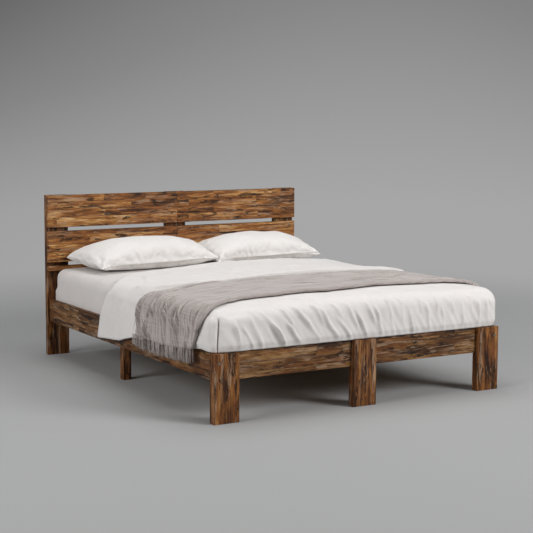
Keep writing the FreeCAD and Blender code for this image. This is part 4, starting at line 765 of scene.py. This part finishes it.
class BED_OT_mattress(bpy.types.Operator):
    """Makes the mattress in its fitted sheet"""
    bl_idname = "bed.mattress"
    bl_label = "Mattress"

    def execute(self, context):
        low, high = MATTRESS_LOW, MATTRESS_HIGH
        size = high - low
        wide, long, tall = (size.x, 0, 0), (0, size.y, 0), (0, 0, size.z)
        nx, ny, nz = (round(edge / 0.022) for edge in size)
        bm = bmesh.new()
        for corner, across, along, cells in (
                ((low.x, low.y, high.z), wide, long, (nx, ny)),
                ((high.x, low.y, low.z), (-size.x, 0, 0), long, (nx, ny)),
                ((low.x, low.y, low.z), wide, tall, (nx, nz)),
                ((high.x, high.y, low.z), (-size.x, 0, 0), tall, (nx, nz)),
                ((low.x, high.y, low.z), (0, -size.y, 0), tall, (ny, nz)),
                ((high.x, low.y, low.z), long, tall, (ny, nz))):
            panel(bm, corner, across, along, cells)
        bmesh.ops.remove_doubles(bm, verts=bm.verts, dist=HAIR)
        bmesh.ops.recalc_face_normals(bm, faces=bm.faces)
        cloth = woven_cloth("cotton percale sheet", context.scene.bed_colours.sheet, linear("#cfc9c5"), sheen=0.12,
                            **COTTON)
        piece = stored("mattress_in_sheet", bm, "frame", cloth)
        rows = points_of(piece.data)
        x, y, z = rows.T
        across = x + np.sign(x) * (high.z - z)
        along = y.copy()
        # The top roll is round, and the bottom one tighter.
        top, bottom = 0.058, 0.022
        radius = np.where(z > (low.z + high.z) / 2, top, bottom)[:, None]
        shaped, out = rounded(rows, np.array(low) + radius, np.array(high) - radius, radius)
        crown = 0.004 * (1 - (x / high.x) ** 2) * (z > high.z - 1e-4)
        wave = rippled(across, along, 21, 0.32) * 0.0018 + rippled(across, along, 22, 0.07) * 0.0006 - 0.0030
        shaped += out * np.where(z < low.z + 0.03, -0.0012, wave)[:, None]
        shaped[:, 2] = np.clip(shaped[:, 2] + crown, low.z, high.z + 0.002)
        place_points(piece.data, shaped)
        lay_uv(piece.data, across, along)
        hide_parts("mattress")
        return {"FINISHED"}


def inflated(piece, pressure, frames, cap):
    """Lets the filling push the pillowcase out, by cloth simulation, and keeps each point within a cap."""
    scene = bpy.context.scene
    cloth = piece.modifiers.new("filling", "CLOTH")
    cloth.settings.quality = 6
    cloth.settings.mass = 0.25
    cloth.settings.tension_stiffness = 25
    cloth.settings.compression_stiffness = 25
    cloth.settings.bending_stiffness = 0.6
    cloth.settings.use_pressure = True
    cloth.settings.uniform_pressure_force = pressure
    cloth.settings.shrink_min = -0.035
    cloth.settings.effector_weights.gravity = 0.0
    cloth.point_cache.frame_start = 1
    cloth.point_cache.frame_end = frames
    before = points_of(piece.data)
    for number in range(1, frames + 1):
        scene.frame_set(number)
    after = points_of(shown(piece).data)
    piece.modifiers.remove(cloth)
    scene.frame_set(1)
    step = after - before
    far = np.maximum(np.linalg.norm(step, axis=1), 1e-9)[:, None]
    place_points(piece.data, before + step * np.minimum(1.0, cap / far))


class BED_OT_pillows(bpy.types.Operator):
    """Makes the two pillows, plumped by simulation, with their hem seams"""
    bl_idname = "bed.pillows"
    bl_label = "Pillows"

    def execute(self, context):
        cotton = woven_cloth("cotton sateen pillowcase", context.scene.bed_colours.pillowcase, linear("#dad6d2"),
                             sheen=0.15, **COTTON)
        for side, node in enumerate(PILLOWS):
            low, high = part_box(node)
            bm = bmesh.new()
            bm.from_mesh(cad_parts[node].data)
            bmesh.ops.remove_doubles(bm, verts=bm.verts, dist=HAIR)
            middle = Vector(((low.x + high.x) / 2, (low.y + high.y) / 2, low.z))
            for vert in bm.verts:
                vert.co = middle + (vert.co - middle) * 0.965
                vert.co.z += 0.003
            piece = stored(node + "_case", bm, node, cotton)
            remesh = piece.modifiers.new("even cloth", "REMESH")
            remesh.mode = "VOXEL"
            remesh.voxel_size = 0.0075
            piece.data = bpy.data.meshes.new_from_object(shown(piece))
            piece.modifiers.clear()
            inflated(piece, 3.5, 18, context.scene.bed_sizes.swell)
            bm = bmesh.new()
            bm.from_mesh(piece.data)
            bmesh.ops.smooth_vert(bm, verts=bm.verts, factor=0.5, use_axis_x=True, use_axis_y=True,
                                  use_axis_z=True)
            bmesh.ops.subdivide_edges(bm, edges=bm.edges, cuts=1, use_grid_fill=True, smooth=0.6)
            bm.normal_update()
            bm.to_mesh(piece.data)
            bm.free()
            self.settle(piece, low, high, PILLOWS[node])
            self.dress(piece, low, high, side)
            smoothed(piece.data)
            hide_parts(node)
        return {"FINISHED"}

    def settle(self, piece, low, high, photographed):
        """Brings the plumped pillow to the width and height that the photograph shows."""
        left, right, top, inwards, forwards, lifted = photographed
        rows = points_of(piece.data)
        least, most = rows.min(axis=0), rows.max(axis=0)
        across, back, up = ((rows - least) / (most - least)).T
        near_left = (1 - across) * (1 - back)
        x = left + across * (right - left) + inwards * near_left
        y = low.y - 0.002 + back * (high.y - low.y) - forwards * near_left
        z = low.z + up * (top - low.z) + lifted * eased((across - 0.72) / 0.28) * (1 - up)
        # The sewn corners stay drawn out to points, the front ones more: behind, the pillow keeps off the boards.
        point = np.abs(2 * across - 1) ** 7 * np.abs(2 * back - 1) ** 5
        x += np.sign(across - 0.5) * point * 0.008
        y = np.minimum(y - point * 0.022 * (back < 0.5), high.y - 0.004)
        z -= point * 0.010 * (across < 0.5)
        place_points(piece.data, np.stack([x, y, z], axis=1))

    def dress(self, piece, low, high, side):
        """Sews the hem line along the front, gathers the cloth above it, and keeps the pillow on the mattress."""
        mesh = piece.data
        rows, normals = points_of(mesh), points_of(mesh, "normal")
        x, y, z = rows.T
        share = (x - low.x) / (high.x - low.x)
        front = eased((high.y - 0.10 - y) / 0.10) * eased((-normals[:, 1] - 0.05) * 4)
        front *= eased(share / 0.12) * eased((1 - share) / 0.10)
        off = z - (low.z + 0.030 + 0.020 * share)
        step = 0.0022 * ridge(off, 0.0070, 0.004) - 0.0040 * ridge(off, 0, 0.0032)
        gathers = 0.0050 * (np.sin(x * 112 + 3.4 * np.sin(x * 17 + side) + off * 30) *
                            eased(off / 0.02) * eased((0.085 - off) / 0.06))
        gathers *= 0.25 + eased(0.5 + 1.3 * rippled(x, z, 38 + side, 0.19))
        calm = rippled(x, y + z, 31 + side, 0.21) * 0.0022
        pinch = rippled(x, y + z, 34 + side, 0.055) * 0.0022
        pinch *= 1 - eased(share / 0.2) * eased((1 - share) / 0.2)
        rows = rows + normals * (front * (step + gathers) + calm + pinch)[:, None]
        rows[:, 2] = np.maximum(rows[:, 2], low.z + 0.0004)
        place_points(mesh, rows)
        lay_uv(mesh, rows[:, 0], rows[:, 1] + rows[:, 2])


class BED_OT_duvet(bpy.types.Operator):
    """Makes the duvet, creased at the foot and drawn back at the left"""
    bl_idname = "bed.duvet"
    bl_label = "Duvet"

    def execute(self, context):
        sizes = context.scene.bed_sizes
        wide, long, drop = 2 * SIDE, DUVET_HEAD - DUVET_FOOT, DUVET_TOP - FOOT_HEM
        nx, ny, nz = 256, 128, 30
        bm = bmesh.new()
        for corner, across, along, cells in (
                ((-SIDE, DUVET_FOOT, DUVET_TOP), (wide, 0, 0), (0, long, 0), (nx, ny)),
                ((-SIDE, DUVET_FOOT, FOOT_HEM), (wide, 0, 0), (0, 0, drop), (nx, nz)),
                ((-SIDE, DUVET_HEAD, FOOT_HEM), (0, -long, 0), (0, 0, drop), (ny, nz)),
                ((SIDE, DUVET_FOOT, FOOT_HEM), (0, long, 0), (0, 0, drop), (ny, nz))):
            panel(bm, corner, across, along, cells)
        bmesh.ops.remove_doubles(bm, verts=bm.verts, dist=HAIR)
        # The corner pleat needs finer cloth than the rest.
        for inset in (0.0225, 0.0265, 0.0305, 0.0345, 0.0385, 0.0425):
            faces = [f for f in bm.faces if abs(f.calc_center_median().x + SIDE - inset) < 0.02
                     and f.calc_center_median().y < DUVET_FOOT + 1e-4]
            geom = faces + list({e for f in faces for e in f.edges}) + list({v for f in faces for v in f.verts})
            bmesh.ops.bisect_plane(bm, geom=geom, plane_co=(inset - SIDE, 0, 0), plane_no=(1, 0, 0), dist=HAIR)
        bmesh.ops.recalc_face_normals(bm, faces=bm.faces)
        if next(f for f in bm.faces if f.calc_center_median().z > DUVET_TOP - 1e-4).normal.z < 0:
            bmesh.ops.reverse_faces(bm, faces=bm.faces)
        cloth = woven_cloth("cotton percale duvet cover", context.scene.bed_colours.duvet, linear("#d9d4d1"),
                            sheen=0.15, **COTTON)
        piece = stored("duvet_in_cover", bm, "duvet", cloth)
        rows = points_of(piece.data)
        x, y, z = rows.T
        # Rows lie closer where the duvet rolls up beyond the throw.
        y[:] = DUVET_FOOT + long * np.interp((y - DUVET_FOOT) / long, (0, 0.28, 0.66, 1), (0, 0.38, 0.58, 1))
        # The side hems are cut lower towards the head.
        on_side = np.abs(x) > SIDE - 1e-6
        hem = table_at(DUVET_HEM, y - FOOT)
        z[:] = np.where(on_side, DUVET_TOP - (DUVET_TOP - z) / drop * (DUVET_TOP - hem), z)
        across, along = unfolded(rows)
        back = (1.604 - table_at(DUVET_REACH, across)) * eased((along - 0.75) / 0.85)
        y -= back
        along -= back
        on_top = z > DUVET_TOP - HAIR
        shaped, out = duvet_form(rows)
        relief = duvet_relief(across, along, sizes.crease)
        # The head edge is a soft roll, flat on the mattress at its very end.
        inward = np.clip((table_at(DUVET_REACH, across) - along) / 0.045, 0, 1)
        roll = np.sqrt(1 - (1 - inward) ** 2)
        relief *= np.where(on_top, roll, 0.4 + 0.6 * roll)
        # The foot hem and the side hems near the foot are tucked in on the rails' top edges.
        x, y, z = shaped.T
        near_hem = eased((FOOT_HEM + 0.035 - z) / 0.035) * eased((0.35 - along) / 0.2)
        relief = relief * (1 - 0.55 * near_hem) - 0.010 * near_hem
        shaped += out * relief[:, None]
        y -= duvet_lean(across, along)
        x += np.sign(x) * eased((DUVET_TOP - 0.07 - z) / 0.1) * on_side * 0.003
        lie = eased((z - DUVET_TOP + 0.08) / 0.05) * (1 - roll)
        z -= lie * np.maximum(z - (MATTRESS_HIGH.z + 0.006), 0)
        place_points(piece.data, shaped)
        lay_uv(piece.data, across, along)
        # The filling reaches down to the mattress on top, and is thin where the duvet hangs.
        thickest = 0.050
        full = np.where(on_top, np.maximum(z - MATTRESS_HIGH.z - 0.003, 0.003), sizes.loft)
        full = np.minimum(full, thickest - 0.033 * eased((np.abs(x) - SIDE + 0.12) / 0.1))
        full = np.where(on_top, full, np.minimum(full, 0.006 + 0.011 * roll))
        group = piece.vertex_groups.new(name="filled")
        for index, depth in enumerate(full):
            group.add([index], float(depth / thickest), "REPLACE")
        fill = thickened(piece, "filling", thickest, -1.0)
        fill.vertex_group = "filled"
        fill.thickness_vertex_group = 0.0
        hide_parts("duvet")
        return {"FINISHED"}


def throw_end(share):
    """How far the throw's hem is from the bed's middle line, in the flat: it hangs lowest away from the foot."""
    return SIDE + DUVET_TOP - (0.302 + 0.034 * (1 - np.clip(share, 0, 1)) ** 2.5)


def throw_place(across, share, layer, crease, cloth):
    """The throw's places over the duvet. Share runs from its folded near edge to its far edge, and layer from 0,
    the lower one, to 1, the upper."""
    near, under, upper = (table_at(table, across) for table in (THROW_NEAR, THROW_UNDER, THROW_FAR))
    along = near + (under * (1 - layer) + upper * layer - near) * share
    drop = np.maximum(np.abs(across) - SIDE, 0.0)
    rows = np.stack([np.clip(across, -SIDE, SIDE), along + FOOT, DUVET_TOP - drop], axis=1)
    shaped, out = duvet_form(rows)
    # The throw stays in front of the duvet's roll.
    relief = np.maximum(duvet_relief(across, np.minimum(along, under - 0.001), crease), -0.002)
    lift = 0.0022 + layer * (cloth * 1.6 + 0.0030)
    # The folded edge stands off the duvet, with a dark gap under it.
    lift = lift + (0.0060 + layer * 0.0060) * ridge(np.maximum(share, 0), 0, 0.060)
    folds = creased(across, along, THROW_CREASES) * 0.0095
    folds += creased(across, along, THROW_PLEATS) * np.where(across < 0, 0.0170, 0.0110)
    folds += (1 + rippled(across, along, 41, 0.06)) * 0.0008
    folds *= 1 - 0.75 * eased((along - under + 0.05) / 0.03)
    # The upper layer's edge stands up where it hangs at the left, and the lower layer rolls up beyond it.
    beyond = along - upper
    edge = ridge(beyond, -0.020, 0.012) * eased((np.abs(across) - 0.70) / 0.1) * (across < 0)
    folds += layer * 0.012 * edge + (1 - layer) * 0.016 * hump(beyond, 0, 0.022, 0.02, 0.12)
    shaped += out * (relief + lift + folds)[:, None]
    shaped[:, 1] -= (1 - layer) * 0.010 * hump(beyond, 0.002, 0.02, 0.03, 0.06)
    return shaped, along


TASSELS = 80  # at each end of each layer
STRANDS = 3  # to a tassel


class BED_OT_throw(bpy.types.Operator):
    """Makes the woven throw, folded double, and its fringe"""
    bl_idname = "bed.throw"
    bl_label = "Throw"

    def execute(self, context):
        scene = context.scene
        sizes, colours = scene.bed_sizes, scene.bed_colours
        cells_across, cells_along = 172, 112
        # The rows run from the lower layer's far edge round the fold to the upper layer's far edge.
        lower = [1 - index / cells_along for index in range(cells_along)]
        shares = np.array(lower + [0.003, -0.004, 0.003] + lower[::-1])
        layers = np.array([0.0] * (cells_along + 1) + [0.5] + [1.0] * (cells_along + 1))
        bm = bmesh.new()
        bmesh.ops.create_grid(bm, x_segments=cells_across, y_segments=len(shares) - 1, size=1.0)
        wool = woven_cloth("slubbed wool and cotton throw", colours.throw_light, colours.throw_dark, thread=0.004,
                           slub=(0.42, 0.0046), relief=0.0006, sheen=0.25, mottle=0.15)
        piece = stored("throw_blanket", bm, "throw", wool)
        rows = points_of(piece.data)
        number = np.rint((rows[:, 1] + 1) / 2 * (len(shares) - 1)).astype(int)
        share, layer = shares[number], layers[number]
        across = rows[:, 0] * throw_end(share)
        shaped, along = throw_place(across, share, layer, sizes.crease, sizes.throw_cloth)
        place_points(piece.data, shaped)
        lay_uv(piece.data, across, np.where(layer > 0.5, along, -along))
        if piece.data.polygons[len(piece.data.polygons) - 100].normal.z < 0:
            piece.data.flip_normals()
        thickened(piece, "cloth", sizes.throw_cloth, 1.0)
        fringe = self.fringe(sizes, colours)
        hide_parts("throw")
        return {"FINISHED"}

    def fringe(self, sizes, colours):
        """Strands of yarn that hang from both layers at both ends, a few to each tassel."""
        pick = random.Random(7)
        curve = bpy.data.curves.new("throw_fringe_yarn", "CURVE")
        curve.dimensions = "3D"
        curve.bevel_depth = sizes.strand / 2
        curve.bevel_resolution = 0
        curve.resolution_u = 2
        curve.use_fill_caps = True
        ends = [(sign, layer, index) for sign in (-1, 1) for layer in (0.0, 1.0) for index in range(TASSELS)]
        for sign, layer, index in ends:
            base = (index + 0.5) / TASSELS + pick.uniform(-0.3, 0.3) / TASSELS
            for strand in range(STRANDS):
                share = base + (strand - 1) * 0.31 / TASSELS
                start, _ = throw_place(np.array([sign * (throw_end(share) - 0.004)]), np.array([share]),
                                       np.array([layer]), sizes.crease, sizes.throw_cloth)
                start = Vector(start[0]) + Vector((sign * sizes.throw_cloth / 2, 0, 0))
                length = sizes.fringe * pick.uniform(0.85, 1.05) * (0.92 + 0.28 * (1 - share))
                lean = pick.uniform(-0.007, 0.009)
                gather = (1 - strand) * 0.0007
                spline = curve.splines.new("NURBS")
                spline.points.add(3)
                # From the hem down: share of the length, then sideways and outwards.
                for point, (down, side, out) in zip(spline.points, (
                        (0.0, 0.0, 0.0), (0.3, gather, 0.0012), (0.65, lean * 0.5 + gather, 0.0006),
                        (1.0, lean + (strand - 1) * 0.0022, pick.uniform(-0.001, 0.003)))):
                    point.co = (start.x + sign * out, start.y + side, start.z - length * down, 1.0)
                spline.order_u = 3
                spline.use_endpoint_u = True
        holder = bpy.data.objects.new("fringe_curve", curve)
        bpy.context.scene.collection.objects.link(holder)
        mesh = bpy.data.meshes.new_from_object(shown(holder))
        bpy.data.objects.remove(holder)
        mesh.materials.clear()
        yarn = woven_cloth("twisted wool yarn", colours.throw_light, colours.throw_dark, thread=0.003,
                           slub=(0.02, 0.003), relief=0.0006, sheen=0.25, mottle=0.2)
        mesh.materials.append(yarn)
        piece = bpy.data.objects.new("throw_fringe_strands", mesh)
        bpy.context.scene.collection.objects.link(piece)
        rows = points_of(mesh)
        while mesh.uv_layers:
            mesh.uv_layers.remove(mesh.uv_layers[0])
        lay_uv(mesh, rows[:, 1], rows[:, 2])
        smoothed(mesh)
        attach(piece, "throw")
        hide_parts("throw_fringe")
        return piece


class BED_OT_straps(bpy.types.Operator):
    """Makes the two webbing straps that keep the slats apart"""
    bl_idname = "bed.straps"
    bl_label = "Slat straps"

    def execute(self, context):
        low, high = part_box("slat_straps")
        width = 0.026
        slats = sorted(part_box("slat_%02d" % number)[0].y for number in range(1, 14))
        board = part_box("slat_01")[1].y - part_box("slat_01")[0].y
        web = woven_cloth("polyester webbing", linear("#d2cdc2"), linear("#a49d90"), thread=0.0015,
                          slub=(0.02, 0.0015), relief=0.0005, sheen=0.1, mottle=0.2)
        for sign, side in ((-1, "left"), (1, "right")):
            bm = bmesh.new()
            bmesh.ops.create_grid(bm, x_segments=4, y_segments=240, size=1.0)
            piece = stored("slat_strap_" + side, bm, "frame", web)
            rows = points_of(piece.data)
            middle = sign * (high.x - width / 2)
            x = middle + rows[:, 0] * width / 2
            y = low.y + (rows[:, 1] + 1) / 2 * (high.y - low.y)
            # Between two slats the strap sags a little.
            sag = np.zeros_like(y)
            for first, second in zip(slats, slats[1:]):
                share = np.clip((y - first - board) / (second - first - board), 0, 1)
                sag = np.maximum(sag, 0.0035 * np.sin(share * math.pi))
            z = low.z + 0.0008 - sag
            place_points(piece.data, np.stack([x, y, z], axis=1))
            lay_uv(piece.data, x, y)
            thickened(piece, "webbing", 0.0014, 0.0)
            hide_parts("slat_straps")
        return {"FINISHED"}


OPERATORS = (BED_OT_studio, BED_OT_wood, BED_OT_hardware, BED_OT_mattress, BED_OT_pillows, BED_OT_duvet,
             BED_OT_throw, BED_OT_straps)


class BED_PT_panel(bpy.types.Panel):
    """Lists the bed's pieces, sizes and colours"""
    bl_idname = "BED_PT_panel"
    bl_label = "Platform bed"
    bl_space_type = "VIEW_3D"
    bl_region_type = "UI"
    bl_category = "Bed"

    def draw(self, context):
        for group in (context.scene.bed_sizes, context.scene.bed_colours):
            for name in group.__annotations__:
                self.layout.prop(group, name)
        for operator in OPERATORS:
            self.layout.operator(operator.bl_idname)


CLASSES = (BedSizes, BedColours) + OPERATORS + (BED_PT_panel,)


def register():
    for item in CLASSES:
        bpy.utils.register_class(item)
    bpy.types.Scene.bed_sizes = bpy.props.PointerProperty(type=BedSizes)
    bpy.types.Scene.bed_colours = bpy.props.PointerProperty(type=BedColours)


def unregister():
    del bpy.types.Scene.bed_colours
    del bpy.types.Scene.bed_sizes
    for item in reversed(CLASSES):
        bpy.utils.unregister_class(item)


def main():
    register()
    bpy.ops.bed.studio()
    bpy.ops.bed.wood()
    bpy.ops.bed.hardware()
    bpy.ops.bed.mattress()
    bpy.ops.bed.pillows()
    bpy.ops.bed.duvet()
    bpy.ops.bed.throw()
    bpy.ops.bed.straps()


if __name__ == "__main__":
    main()
